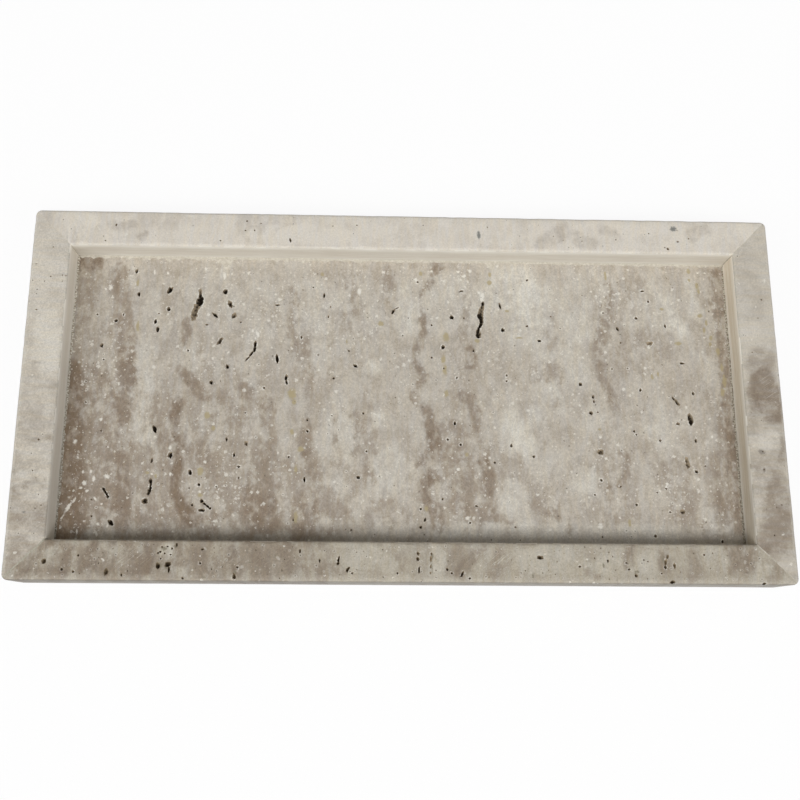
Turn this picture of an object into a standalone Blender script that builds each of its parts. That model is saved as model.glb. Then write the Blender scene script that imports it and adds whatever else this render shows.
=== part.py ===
# A travertine tray, built the way a stone workshop builds one: a vein-cut base slab, four
# mitred rails glued round the top of it, filled joints, and four thin pads stuck underneath.
# Units are metres and +Z is up. The origin is the middle of the surface that the tray stands on.

import math

import bmesh
import bpy
from mathutils import Matrix, Vector, noise

# Overall outline
tray_length = 0.300
tray_width = 0.149
corner_radius = 0.0022

# Base slab
slab_thickness = 0.008
slab_bottom_round = 0.0008

# Rails that make the rim
rail_width = 0.0153
rail_height = 0.0099
rail_outer_round = 0.0015
rail_inner_round = 0.0010

# Joints between the stones
contact_gap = 0.0003
bed_glue_thickness = 0.0004
bed_glue_inset = 0.0003
mitre_glue_thickness = 0.0005

# Filler bead along the foot of each wall
bead_width = 0.0012
bead_height = 0.0016
bead_toe = 0.0003

# Pads under the slab
pad_diameter = 0.012
pad_thickness = 0.0012
pad_edge_round = 0.0003
pad_inset = 0.018

# Pores, the open pits that vein-cut travertine is known for
pore_length = 0.010
pore_depth = 0.0016
pore_roughness_share = 0.45
pore_lumps_per_radius = 1.4

# Counts
corner_steps = 4
round_steps = 3
pad_sides = 40
pore_blob_steps = 2

# Closeness within which a point counts as lying on a plane
plane_tolerance = 0.000002

# Heights and half sizes that follow from the values above
slab_base_z = pad_thickness + contact_gap
floor_z = slab_base_z + slab_thickness
bed_glue_base_z = floor_z + contact_gap
rail_base_z = bed_glue_base_z + bed_glue_thickness + contact_gap
rim_z = rail_base_z + rail_height
mitre_joint = mitre_glue_thickness + 2 * contact_gap
half_length = tray_length / 2
half_width = tray_width / 2

# Each side: its outward direction, and how far its outer face is from the middle
sides = {
    "front": (Vector((0, -1, 0)), half_width),
    "back": (Vector((0, 1, 0)), half_width),
    "left": (Vector((-1, 0, 0)), half_length),
    "right": (Vector((1, 0, 0)), half_length),
}

# Pores in the floor. Each row gives the place as shares of the recess, from its left and front
# walls, then the length, width and depth as shares of the longest pore, and the turn in degrees.
floor_pore_shares = (
    (0.192, 0.858, 0.66, 0.28, 1.00, 4),
    (0.186, 0.800, 0.36, 0.16, 0.80, -16),
    (0.626, 0.800, 0.72, 0.18, 1.00, -6),
    (0.621, 0.722, 0.34, 0.15, 0.80, -14),
    (0.277, 0.668, 0.34, 0.14, 0.80, 0),
    (0.269, 0.634, 0.34, 0.12, 0.70, -38),
    (0.132, 0.179, 0.52, 0.13, 0.80, -10),
    (0.069, 0.162, 0.36, 0.12, 0.70, 30),
    (0.146, 0.893, 0.30, 0.16, 0.80, 0),
    (0.314, 0.639, 0.26, 0.16, 0.80, 20),
    (0.079, 0.060, 0.22, 0.16, 0.70, 0),
    (0.136, 0.383, 0.22, 0.15, 0.70, 10),
    (0.160, 0.292, 0.19, 0.18, 0.70, 0),
    (0.932, 0.416, 0.40, 0.20, 0.90, 4),
    (0.923, 0.261, 0.25, 0.17, 0.70, 0),
    (0.913, 0.476, 0.21, 0.15, 0.60, 12),
    (0.657, 0.742, 0.19, 0.18, 0.70, 0),
    (0.880, 0.694, 0.26, 0.24, 0.50, 0),
    (0.797, 0.303, 0.28, 0.25, 0.50, 0),
    (0.580, 0.791, 0.24, 0.13, 0.60, 0),
    (0.212, 0.131, 0.21, 0.16, 0.60, -20),
    (0.224, 0.104, 0.18, 0.13, 0.60, 30),
)

# Pores in the tops of two rails: the place as shares of the rail's length and width, from its
# left end and its inner edge, then the sizes and the turn as above.
rail_pore_shares = {
    "front": (
        (0.052, 0.52, 0.16, 0.12, 0.50, 0),
        (0.128, 0.74, 0.32, 0.20, 0.60, 8),
        (0.208, 0.62, 0.15, 0.24, 0.50, 0),
        (0.434, 0.30, 0.15, 0.12, 0.50, 0),
        (0.833, 0.56, 0.26, 0.13, 0.60, -6),
    ),
    "back": (
        (0.086, 0.46, 0.14, 0.12, 0.50, 0),
        (0.886, 0.34, 0.17, 0.13, 0.50, 18),
    ),
}


def clear_scene():
    for old in list(bpy.data.objects):
        bpy.data.objects.remove(old, do_unlink=True)


def plain_material(name, colour, roughness):
    material = bpy.data.materials.new(name)
    material.use_nodes = True
    shader = material.node_tree.nodes["Principled BSDF"]
    shader.inputs["Base Color"].default_value = (*colour, 1)
    shader.inputs["Roughness"].default_value = roughness
    shader.inputs["Metallic"].default_value = 0
    material.diffuse_color = (*colour, 1)
    return material


def floor_travertine():
    return plain_material("floor_travertine", colour=(0.46, 0.41, 0.34), roughness=0.62)


def rail_travertine():
    return plain_material("rail_travertine", colour=(0.53, 0.49, 0.42), roughness=0.58)


def pale_filler():
    return plain_material("pale_filler", colour=(0.66, 0.62, 0.54), roughness=0.70)


def stone_adhesive():
    return plain_material("stone_adhesive", colour=(0.58, 0.54, 0.45), roughness=0.50)


def clear_silicone():
    return plain_material("clear_silicone", colour=(0.72, 0.72, 0.70), roughness=0.45)


def add_object(name, bm, material):
    bmesh.ops.recalc_face_normals(bm, faces=bm.faces[:])
    mesh = bpy.data.meshes.new(name)
    bm.to_mesh(mesh)
    bm.free()
    mesh.materials.append(material)
    obj = bpy.data.objects.new(name, mesh)
    bpy.context.scene.collection.objects.link(obj)
    return obj


def new_block(length, width, height, base_z):
    """A plain block, centred over the origin, standing on base_z."""
    bm = bmesh.new()
    middle = Matrix.Translation((0, 0, base_z + height / 2))
    size = Matrix.Diagonal((length, width, height, 1))
    bmesh.ops.create_cube(bm, size=1, matrix=middle @ size)
    return bm


def round_edges(bm, edges, radius, steps):
    bmesh.ops.bevel(
        bm,
        geom=edges,
        offset=radius,
        offset_type="OFFSET",
        segments=steps,
        profile=0.5,
        affect="EDGES",
        clamp_overlap=True,
        material=-1,
    )


def is_upright(edge):
    along = edge.verts[1].co - edge.verts[0].co
    return abs(along.z) > plane_tolerance and along.xy.length < plane_tolerance


def outline_block(height, base_z):
    """A solid block with the tray's outline and its rounded corners."""
    bm = new_block(tray_length, tray_width, height, base_z)
    uprights = [edge for edge in bm.edges if is_upright(edge)]
    round_edges(bm, uprights, corner_radius, corner_steps)
    return bm


def edges_of_end(bm, upwards):
    """The edges round the top face, or round the bottom face."""
    turn = 1 if upwards else -1
    end = max(bm.faces, key=lambda face: face.calc_center_median().z * turn)
    return list(end.edges)


def cut_away(bm, point, direction):
    """Takes off all that lies beyond point in direction, and closes the cut."""
    whole = bm.verts[:] + bm.edges[:] + bm.faces[:]
    result = bmesh.ops.bisect_plane(
        bm,
        geom=whole,
        dist=plane_tolerance,
        plane_co=point,
        plane_no=direction,
        clear_outer=True,
    )
    rim = [part for part in result["geom_cut"] if isinstance(part, bmesh.types.BMEdge)]
    bmesh.ops.holes_fill(bm, edges=rim, sides=0)
    bmesh.ops.dissolve_degenerate(bm, dist=plane_tolerance, edges=bm.edges[:])


def side_ends(outward, reach):
    """The two outline corners of a side, each with the direction towards it along the side."""
    across = outward.cross(Vector((0, 0, 1)))
    half = half_length if abs(outward.y) > abs(outward.x) else half_width
    for along in (across, -across):
        yield outward * reach + along * half, along


def cut_mitres(bm, outward, reach, clearance):
    """Cuts both ends of a side at 45 degrees, stopping short of the mitre plane by clearance."""
    for corner, along in side_ends(outward, reach):
        away = (along - outward).normalized()
        cut_away(bm, corner - away * clearance, away)


def pore_blob(length, width, depth, turn, place, seed):
    """A rough egg shape that leaves a pit where it dips below the surface at place."""
    bm = bmesh.new()
    bmesh.ops.create_icosphere(bm, subdivisions=pore_blob_steps, radius=1)
    for vert in bm.verts:
        spot = vert.co * pore_lumps_per_radius + Vector((seed, seed / 2, 0))
        vert.co *= 1 + pore_roughness_share * noise.noise(spot)
    size = Matrix.Diagonal((width / 2, length / 2, depth, 1))
    spin = Matrix.Rotation(math.radians(turn), 4, "Z")
    bm.transform(Matrix.Translation(place) @ spin @ size)
    return bm


def pore_cutter(name, rows, place_of, material):
    """All the pores of one stone as a single cutter."""
    one_blob = bpy.data.meshes.new(name)
    joined = bmesh.new()
    for number, (first_share, second_share, *shape_shares, turn) in enumerate(rows):
        long_share, wide_share, deep_share = shape_shares
        blob = pore_blob(
            pore_length * long_share,
            pore_length * wide_share,
            pore_depth * deep_share,
            turn,
            place_of(first_share, second_share),
            number,
        )
        blob.to_mesh(one_blob)
        blob.free()
        joined.from_mesh(one_blob)
    bpy.data.meshes.remove(one_blob)
    cutter = add_object(name, joined, material)
    cutter.display_type = "WIRE"
    cutter.hide_render = True
    cutter.hide_set(True)
    return cutter


def cut_pores(stone, cutter):
    cut = stone.modifiers.new("pores", "BOOLEAN")
    cut.operation = "DIFFERENCE"
    cut.solver = "EXACT"
    cut.object = cutter


def floor_place(across_share, back_share):
    """A point on the recess floor, by shares from the left and the front wall."""
    recess_length = tray_length - 2 * rail_width
    recess_width = tray_width - 2 * rail_width
    x = recess_length * (across_share - 0.5)
    y = recess_width * (back_share - 0.5)
    return Vector((x, y, floor_z))


def rail_place(side):
    """Gives a function that finds a point on a long rail's top, by shares from its left end
    and its inner edge."""
    outward, reach = sides[side]

    def place(along_share, outward_share):
        x = tray_length * (along_share - 0.5)
        out = reach - rail_width * (1 - outward_share)
        return Vector((x, 0, rim_z)) + outward * out

    return place


def make_slab(material):
    bm = outline_block(slab_thickness, slab_base_z)
    round_edges(bm, edges_of_end(bm, upwards=False), slab_bottom_round, round_steps)
    return add_object("base_slab", bm, material)


def make_rail(side, material):
    """A strip with a rounded outer top edge, an eased inner one and mitred ends."""
    outward, reach = sides[side]
    bm = outline_block(rail_height, rail_base_z)
    round_edges(bm, edges_of_end(bm, upwards=True), rail_outer_round, round_steps)
    inner_face = reach - rail_width
    cut_away(bm, outward * inner_face, -outward)
    cut_mitres(bm, outward, reach, mitre_joint / 2)
    inner_top = [
        edge
        for edge in bm.edges
        if all(abs(vert.co.dot(outward) - inner_face) < plane_tolerance for vert in edge.verts)
        and all(abs(vert.co.z - rim_z) < plane_tolerance for vert in edge.verts)
    ]
    round_edges(bm, inner_top, rail_inner_round, round_steps)
    return add_object(side + "_rail", bm, material)


def make_bed_glue(side, material):
    """The thin bed of adhesive that holds a rail down on the slab."""
    outward, reach = sides[side]
    length = tray_length - 2 * bed_glue_inset
    width = tray_width - 2 * bed_glue_inset
    bm = new_block(length, width, bed_glue_thickness, bed_glue_base_z)
    inner_face = reach - rail_width + bed_glue_inset
    cut_away(bm, outward * inner_face, -outward)
    cut_mitres(bm, outward, reach, mitre_joint / 2)
    return add_object(side + "_bed_glue", bm, material)


def make_mitre_glue(side, end, material):
    """The filled glue joint between two mitred ends: a thin upright sheet across the corner."""
    outward, reach = sides[side]
    sideways, side_reach = sides[end]
    corner = outward * reach + sideways * side_reach
    inwards = -(outward + sideways).normalized()
    across = (outward - sideways).normalized()
    inner_corner = corner - (outward + sideways) * rail_width
    bm = outline_block(rail_height, rail_base_z)
    round_edges(bm, edges_of_end(bm, upwards=True), rail_outer_round, round_steps)
    cut_away(bm, inner_corner, inwards)
    cut_away(bm, corner + across * mitre_glue_thickness / 2, across)
    cut_away(bm, corner - across * mitre_glue_thickness / 2, -across)
    return add_object(side + "_" + end + "_mitre_glue", bm, material)


def make_bead(side, material):
    """The bead of filler in the angle between the floor and a rail's inner face."""
    outward, reach = sides[side]
    length = tray_length - 2 * rail_width - 2 * contact_gap
    width = tray_width - 2 * rail_width - 2 * contact_gap
    base_z = floor_z + contact_gap
    bm = new_block(length, width, bead_height, base_z)
    wall = reach - rail_width - contact_gap
    toe = outward * (wall - bead_width)
    cut_away(bm, toe, -outward)
    slope = (Vector((0, 0, bead_width)) - outward * (bead_height - bead_toe)).normalized()
    cut_away(bm, toe + Vector((0, 0, base_z + bead_toe)), slope)
    cut_mitres(bm, outward, reach, contact_gap)
    return add_object(side + "_filler_bead", bm, material)


def make_pad(name, x, y, material):
    """A thin self-adhesive disc, with the edge that touches the table eased."""
    bm = bmesh.new()
    middle = Matrix.Translation((0, 0, pad_thickness / 2))
    bmesh.ops.create_cone(
        bm,
        cap_ends=True,
        segments=pad_sides,
        radius1=pad_diameter / 2,
        radius2=pad_diameter / 2,
        depth=pad_thickness,
        matrix=middle,
    )
    round_edges(bm, edges_of_end(bm, upwards=False), pad_edge_round, round_steps)
    pad = add_object(name, bm, material)
    pad.location = (x, y, 0)
    return pad


def build_tray():
    clear_scene()
    slab_stone = floor_travertine()
    rail_stone = rail_travertine()
    filler = pale_filler()
    glue = stone_adhesive()
    silicone = clear_silicone()

    slab = make_slab(slab_stone)
    cut_pores(slab, pore_cutter("floor_pores", floor_pore_shares, floor_place, slab_stone))

    rails = {side: make_rail(side, rail_stone) for side in sides}
    for side, rows in rail_pore_shares.items():
        cutter = pore_cutter(side + "_rail_pores", rows, rail_place(side), rail_stone)
        cut_pores(rails[side], cutter)

    for side in sides:
        make_bed_glue(side, glue)
        make_bead(side, filler)
    for side in ("front", "back"):
        for end in ("left", "right"):
            make_mitre_glue(side, end, filler)
            outward, reach = sides[side]
            sideways, side_reach = sides[end]
            place = outward * (reach - pad_inset) + sideways * (side_reach - pad_inset)
            make_pad(side + "_" + end + "_pad", place.x, place.y, silicone)


build_tray()
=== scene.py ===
# %% [markdown]
# # A travertine tray
# The object is a small stone tray: one thin slab, four mitred rails glued round its edge, pale
# filler in the joints and four soft pads underneath. The CAD model fixes every size. This
# script dresses it, so the first step loads that model and reads the sizes from it.

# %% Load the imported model
import math
import random

import bmesh
import bpy
import numpy as np
from mathutils import Matrix, Vector, noise


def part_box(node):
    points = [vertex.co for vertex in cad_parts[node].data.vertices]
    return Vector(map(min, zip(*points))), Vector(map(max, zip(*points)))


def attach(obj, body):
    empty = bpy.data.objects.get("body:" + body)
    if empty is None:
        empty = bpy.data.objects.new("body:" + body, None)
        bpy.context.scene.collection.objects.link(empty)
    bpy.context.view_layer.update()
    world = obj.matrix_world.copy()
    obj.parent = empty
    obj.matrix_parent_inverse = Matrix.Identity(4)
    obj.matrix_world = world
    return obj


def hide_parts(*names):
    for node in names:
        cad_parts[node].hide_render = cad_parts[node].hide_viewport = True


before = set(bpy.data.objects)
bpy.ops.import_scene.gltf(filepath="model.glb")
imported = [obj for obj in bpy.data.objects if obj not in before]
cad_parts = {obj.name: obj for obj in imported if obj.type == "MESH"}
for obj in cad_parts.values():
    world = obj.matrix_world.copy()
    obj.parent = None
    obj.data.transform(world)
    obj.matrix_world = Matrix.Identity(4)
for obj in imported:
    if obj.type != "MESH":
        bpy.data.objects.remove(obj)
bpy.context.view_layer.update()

mm = 0.001

# %% [markdown]
# ## Sizes
# A box read from a CAD node is better than a number typed twice: when the source changes, the
# looks follow. The tray is centred, so its highest corner gives half of each length.

# %% Read the sizes
slab_low, slab_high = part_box("base_slab")
front_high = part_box("front_rail")[1]
left_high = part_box("left_rail")[1]

half_length = slab_high.x
half_width = slab_high.y
opening_x = -left_high.x
opening_y = -front_high.y
slab_bottom = slab_low.z
floor_level = slab_high.z
rim_level = front_high.z
rail_width = half_width - opening_y
joint_height = 0.25 * mm
rail_bottom = floor_level + joint_height
print("opening in mm:", round(2 * opening_x / mm, 1), "by", round(2 * opening_y / mm, 1))

# %% [markdown]
# ## Camera
# The photograph looks down into the tray from in front and a little to the left. The numbers
# come from fitting a camera to the tray's straight edges. The optical axis doesn't meet the
# picture in its middle, which is what the lens shift is for.

# %% Make the camera
image_side = 800
focal_pixels = 900.568
axis_pixel = (383.337, 432.645)
camera_place = Vector((-17.244, -93.904, 360.96)) * mm
tilt = math.radians(77.207)
heading = math.radians(6.664)
roll = math.radians(7.113)

aim = Vector((
    math.sin(heading) * math.cos(tilt),
    math.cos(heading) * math.cos(tilt),
    -math.sin(tilt),
))
level = Vector((math.cos(heading), -math.sin(heading), 0))
upright = level.cross(aim)
right = math.cos(roll) * level + math.sin(roll) * upright
up = math.cos(roll) * upright - math.sin(roll) * level

lens = bpy.data.cameras.new("camera")
lens.sensor_width = 36
lens.lens = focal_pixels * lens.sensor_width / image_side
lens.shift_x = 0.5 - axis_pixel[0] / image_side
lens.shift_y = axis_pixel[1] / image_side - 0.5
lens.clip_start = 0.01
camera = bpy.data.objects.new("camera", lens)
camera.matrix_world = Matrix((
    (right.x, up.x, -aim.x, camera_place.x),
    (right.y, up.y, -aim.y, camera_place.y),
    (right.z, up.z, -aim.z, camera_place.z),
    (0, 0, 0, 1),
))
bpy.context.scene.collection.objects.link(camera)
bpy.context.scene.camera = camera
print("lens in mm:", round(lens.lens, 2))

# %% [markdown]
# ## From the picture to the stone
# Stone is a pattern of places: this pit, that brown vein. Each place is written below as the
# pixel where it is seen. A ray through that pixel meets the floor or the rim at one point, and
# that point is where the pit is cut, so it also sits right when seen from another side.

# %% Find the place of a pixel
def place_of(pixel_x, pixel_y, height):
    across = (pixel_x - axis_pixel[0]) / focal_pixels
    upward = (axis_pixel[1] - pixel_y) / focal_pixels
    ray = aim + right * across + up * upward
    return camera_place + ray * ((height - camera_place.z) / ray.z)


def pixel_size(place):
    return (place - camera_place).dot(aim) / focal_pixels


middle_place = place_of(image_side / 2, image_side / 2, floor_level)
print("one pixel there in mm:", round(pixel_size(middle_place) / mm, 3))

# %% [markdown]
# ## Colours
# A colour is easier to judge as 0 to 255, the way a picture stores it. Blender's sockets take
# linear light, so a small helper converts.

# %% Convert a colour
def paint(red, green, blue):
    def to_light(value):
        value /= 255
        if value <= 0.04045:
            return value / 12.92
        return ((value + 0.055) / 1.055) ** 2.4
    return (to_light(red), to_light(green), to_light(blue), 1.0)


white_light = (1, 1, 1, 1)
print("middle grey in linear light:", round(paint(128, 128, 128)[0], 3))

# %% [markdown]
# ## Small tools for node trees
# A stone needs many nodes. These helpers add one node, set or link its sockets and hand back
# its output, so that a material reads almost like a sum. `times` multiplies and adds, `cloud`
# is a noise whose lumps have the given size along x, y and z, and `fade` is a soft step.

# %% Helpers for nodes
def add_node(tree, kind, inputs=None, **settings):
    node = tree.nodes.new(kind)
    for name, value in settings.items():
        setattr(node, name, value)
    for name, value in (inputs or {}).items():
        if isinstance(value, bpy.types.NodeSocket):
            tree.links.new(value, node.inputs[name])
        else:
            node.inputs[name].default_value = value
    return node


def calc(tree, operation, first, second=0.0, third=0.0, clamp=False):
    values = {0: first, 1: second, 2: third}
    return add_node(tree, "ShaderNodeMath", values, operation=operation, use_clamp=clamp).outputs[0]


def times(tree, first, second, plus=0.0, clamp=False):
    return calc(tree, "MULTIPLY_ADD", first, second, plus, clamp)


def vector_calc(tree, operation, first, second):
    second_socket = "Scale" if operation == "SCALE" else 1
    values = {0: first, second_socket: second}
    return add_node(tree, "ShaderNodeVectorMath", values, operation=operation).outputs[0]


def coordinate(tree, point, axis):
    return add_node(tree, "ShaderNodeSeparateXYZ", {0: point}).outputs[axis]


def cloud(tree, point, size, detail=3.0, roughness=0.55, output="Fac"):
    point = vector_calc(tree, "MULTIPLY", point, tuple(1 / side for side in size))
    values = {"Vector": point, "Scale": 1.0, "Detail": detail, "Roughness": roughness}
    return add_node(tree, "ShaderNodeTexNoise", values).outputs[output]


def fade(tree, value, start, end, low=0.0, high=1.0):
    values = {"Value": value, "From Min": start, "From Max": end, "To Min": low, "To Max": high}
    return add_node(tree, "ShaderNodeMapRange", values, interpolation_type="SMOOTHSTEP").outputs[0]


def blend(tree, factor, first, second):
    values = {0: factor, 6: first, 7: second}
    return add_node(tree, "ShaderNodeMix", values, data_type="RGBA").outputs[2]


# %% [markdown]
# A node group is an effect that several materials share. Each group here takes a point and a few
# numbers and puts out masks. The shaders stay in the materials.

# %% Helpers for groups
def new_group(name, numbers, masks):
    group = bpy.data.node_groups.new(name, "ShaderNodeTree")
    new_socket = group.interface.new_socket
    new_socket("Vector", in_out="INPUT", socket_type="NodeSocketVector")
    for label, value in numbers.items():
        new_socket(label, in_out="INPUT", socket_type="NodeSocketFloat").default_value = value
    for label in masks:
        new_socket(label, in_out="OUTPUT", socket_type="NodeSocketFloat")
    return group, group.nodes.new("NodeGroupInput").outputs


def put_out(group, masks):
    leave = group.nodes.new("NodeGroupOutput").inputs
    for label, mask in masks.items():
        group.links.new(mask, leave[label])
    print("group", group.name, "with", len(group.nodes), "nodes")


def use_group(tree, group, inputs):
    return add_node(tree, "ShaderNodeGroup", inputs, node_tree=group).outputs


# %% [markdown]
# ## Veins and clouds of the stone
# Travertine is laid down in layers by a spring, and this slab was cut across them, so its
# bands run from front to back. A noise that is stretched along the bands gives them, and a
# second noise bends the coordinates first, because no real layer is straight. Strokes are the
# short straight marks of the sanding pad. All groups work in millimetres, which keeps their
# sizes easy to check against the photograph.

# %% Group: veins
veins, entry = new_group(
    "stone_veins",
    {"Bend": 5.0, "Stroke Angle": 0.0},
    ("Bands", "Clouds", "Streaks", "Grain", "Strokes"),
)
point = entry["Vector"]
noise_middle = (0.5, 0.5, 0.5)
drift = cloud(veins, point, (16, 30, 16), 3.0, 0.6, "Color")
drift = vector_calc(veins, "SUBTRACT", drift, noise_middle)
bent = vector_calc(veins, "ADD", point, vector_calc(veins, "SCALE", drift, entry["Bend"]))
bands = cloud(veins, bent, (15, 95, 40), 5.0, 0.6)
wide_clouds = cloud(veins, bent, (6, 10, 6), 4.0)
small_clouds = cloud(veins, bent, (2.4, 3.4, 2.4), 5.0, 0.65)
clouds = times(veins, small_clouds, 0.45, times(veins, wide_clouds, 0.55))
streaks = cloud(veins, bent, (1.5, 11, 4), 5.0, 0.62)
grain = cloud(veins, point, (0.7, 0.8, 0.7), 5.0, 0.85)
swept = {"Vector": point, "Angle": entry["Stroke Angle"]}
swept = add_node(veins, "ShaderNodeVectorRotate", swept, rotation_type="Z_AXIS").outputs[0]
strokes = cloud(veins, swept, (9, 0.45, 2), 3.0, 0.6)
put_out(veins, {
    "Bands": fade(veins, bands, 0.36, 0.66),
    "Clouds": fade(veins, clouds, 0.36, 0.64, -1.0, 1.0),
    "Streaks": fade(veins, streaks, 0.3, 0.7, -1.0, 1.0),
    "Grain": fade(veins, grain, 0.25, 0.75, -1.0, 1.0),
    "Strokes": fade(veins, strokes, 0.54, 0.68),
})

# %% [markdown]
# ## Specks
# The stone is full of dots: pores that were filled with white cement, and pin pores that stayed
# open. A Voronoi texture has one point in each cell. A dot is drawn round some of the points,
# with a size of its own, and only where a slow noise lets them gather. Mask is the dot itself,
# Ring a halo round it and Outline a thin line along its edge.

# %% Group: specks
specks, entry = new_group(
    "stone_specks",
    {"Spacing": 2.0, "Radius": 0.25, "Share": 0.5},
    ("Mask", "Ring", "Outline"),
)
point = entry["Vector"]
radius = entry["Radius"]
finer = vector_calc(specks, "SCALE", point, calc(specks, "DIVIDE", 0.7, radius))
wobble = {"Vector": finer, "Scale": 1.0, "Detail": 2.0}
wobble = add_node(specks, "ShaderNodeTexNoise", wobble).outputs["Color"]
wobble = vector_calc(specks, "SUBTRACT", wobble, noise_middle)
wobble = vector_calc(specks, "SCALE", wobble, times(specks, radius, 3.2))
spread = vector_calc(specks, "ADD", point, wobble)
spread = vector_calc(specks, "SCALE", spread, calc(specks, "DIVIDE", 1.0, entry["Spacing"]))
cells = add_node(specks, "ShaderNodeTexVoronoi", {"Vector": spread, "Scale": 1.0}).outputs
lots = add_node(specks, "ShaderNodeSeparateColor", {"Color": cells["Color"]}).outputs
gather = fade(specks, cloud(specks, point, (11, 24, 11)), 0.35, 0.65, 0.25, 1.0)
chosen = calc(specks, "LESS_THAN", lots[0], times(specks, gather, entry["Share"]))
size = times(specks, calc(specks, "POWER", lots[1], 2.0), 0.9, 0.45)
distance = times(specks, cells["Distance"], entry["Spacing"])
ratio = calc(specks, "DIVIDE", distance, times(specks, size, radius))
dot = fade(specks, ratio, 0.75, 1.2, 1.0, 0.0)
halo = fade(specks, ratio, 1.5, 2.5, 1.0, 0.0)
halo = times(specks, halo, calc(specks, "GREATER_THAN", lots[2], 0.45))
thin_line = times(specks, fade(specks, ratio, 0.55, 0.95), fade(specks, ratio, 1.05, 1.5, 1.0, 0.0))
put_out(specks, {
    "Mask": times(specks, dot, chosen),
    "Ring": times(specks, halo, chosen),
    "Outline": times(specks, thin_line, chosen),
})

# %% [markdown]
# ## Rubbed edges, highlight and side shade
# Sanding leaves every arris of the rim paler and smoother than the faces, and the pale arris is
# also a painted highlight where the light catches it. The mask comes from the distance to the
# outline and to the opening, with a little noise in it, so the pale line is never quite even. A
# third mask marks the outer side faces, which the stone darkens as painted shade.

# %% Group: rubbed edges, painted highlight and side shade
rub_highlight_and_side_shade, entry = new_group(
    "rub_highlight_and_side_shade",
    {"Outer Width": 1.6, "Inner Width": 1.2},
    ("Outer", "Inner", "Side"),
)
point = entry["Vector"]
side_x = calc(rub_highlight_and_side_shade, "ABSOLUTE", coordinate(rub_highlight_and_side_shade, point, "X"))
side_y = calc(rub_highlight_and_side_shade, "ABSOLUTE", coordinate(rub_highlight_and_side_shade, point, "Y"))
jitter = times(rub_highlight_and_side_shade, cloud(rub_highlight_and_side_shade, point, (2.5, 2.5, 2.5), 4.0), 1.6, -0.8)
from_outline = calc(
    rub_highlight_and_side_shade, "MINIMUM",
    calc(rub_highlight_and_side_shade, "SUBTRACT", half_length / mm, side_x),
    calc(rub_highlight_and_side_shade, "SUBTRACT", half_width / mm, side_y),
)
from_opening = calc(
    rub_highlight_and_side_shade, "MAXIMUM",
    calc(rub_highlight_and_side_shade, "SUBTRACT", side_x, opening_x / mm),
    calc(rub_highlight_and_side_shade, "SUBTRACT", side_y, opening_y / mm),
)
# Painted shade: this mask darkens the outer side faces.
masks = {"Side": fade(rub_highlight_and_side_shade, from_outline, 0.15, 0.6, 1.0, 0.0)}
for label, gap in (("Outer", from_outline), ("Inner", from_opening)):
    near = calc(rub_highlight_and_side_shade, "DIVIDE", calc(rub_highlight_and_side_shade, "ADD", gap, jitter), entry[label + " Width"])
    masks[label] = fade(rub_highlight_and_side_shade, near, 0.55, 1.15, 1.0, 0.0)
put_out(rub_highlight_and_side_shade, masks)
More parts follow.
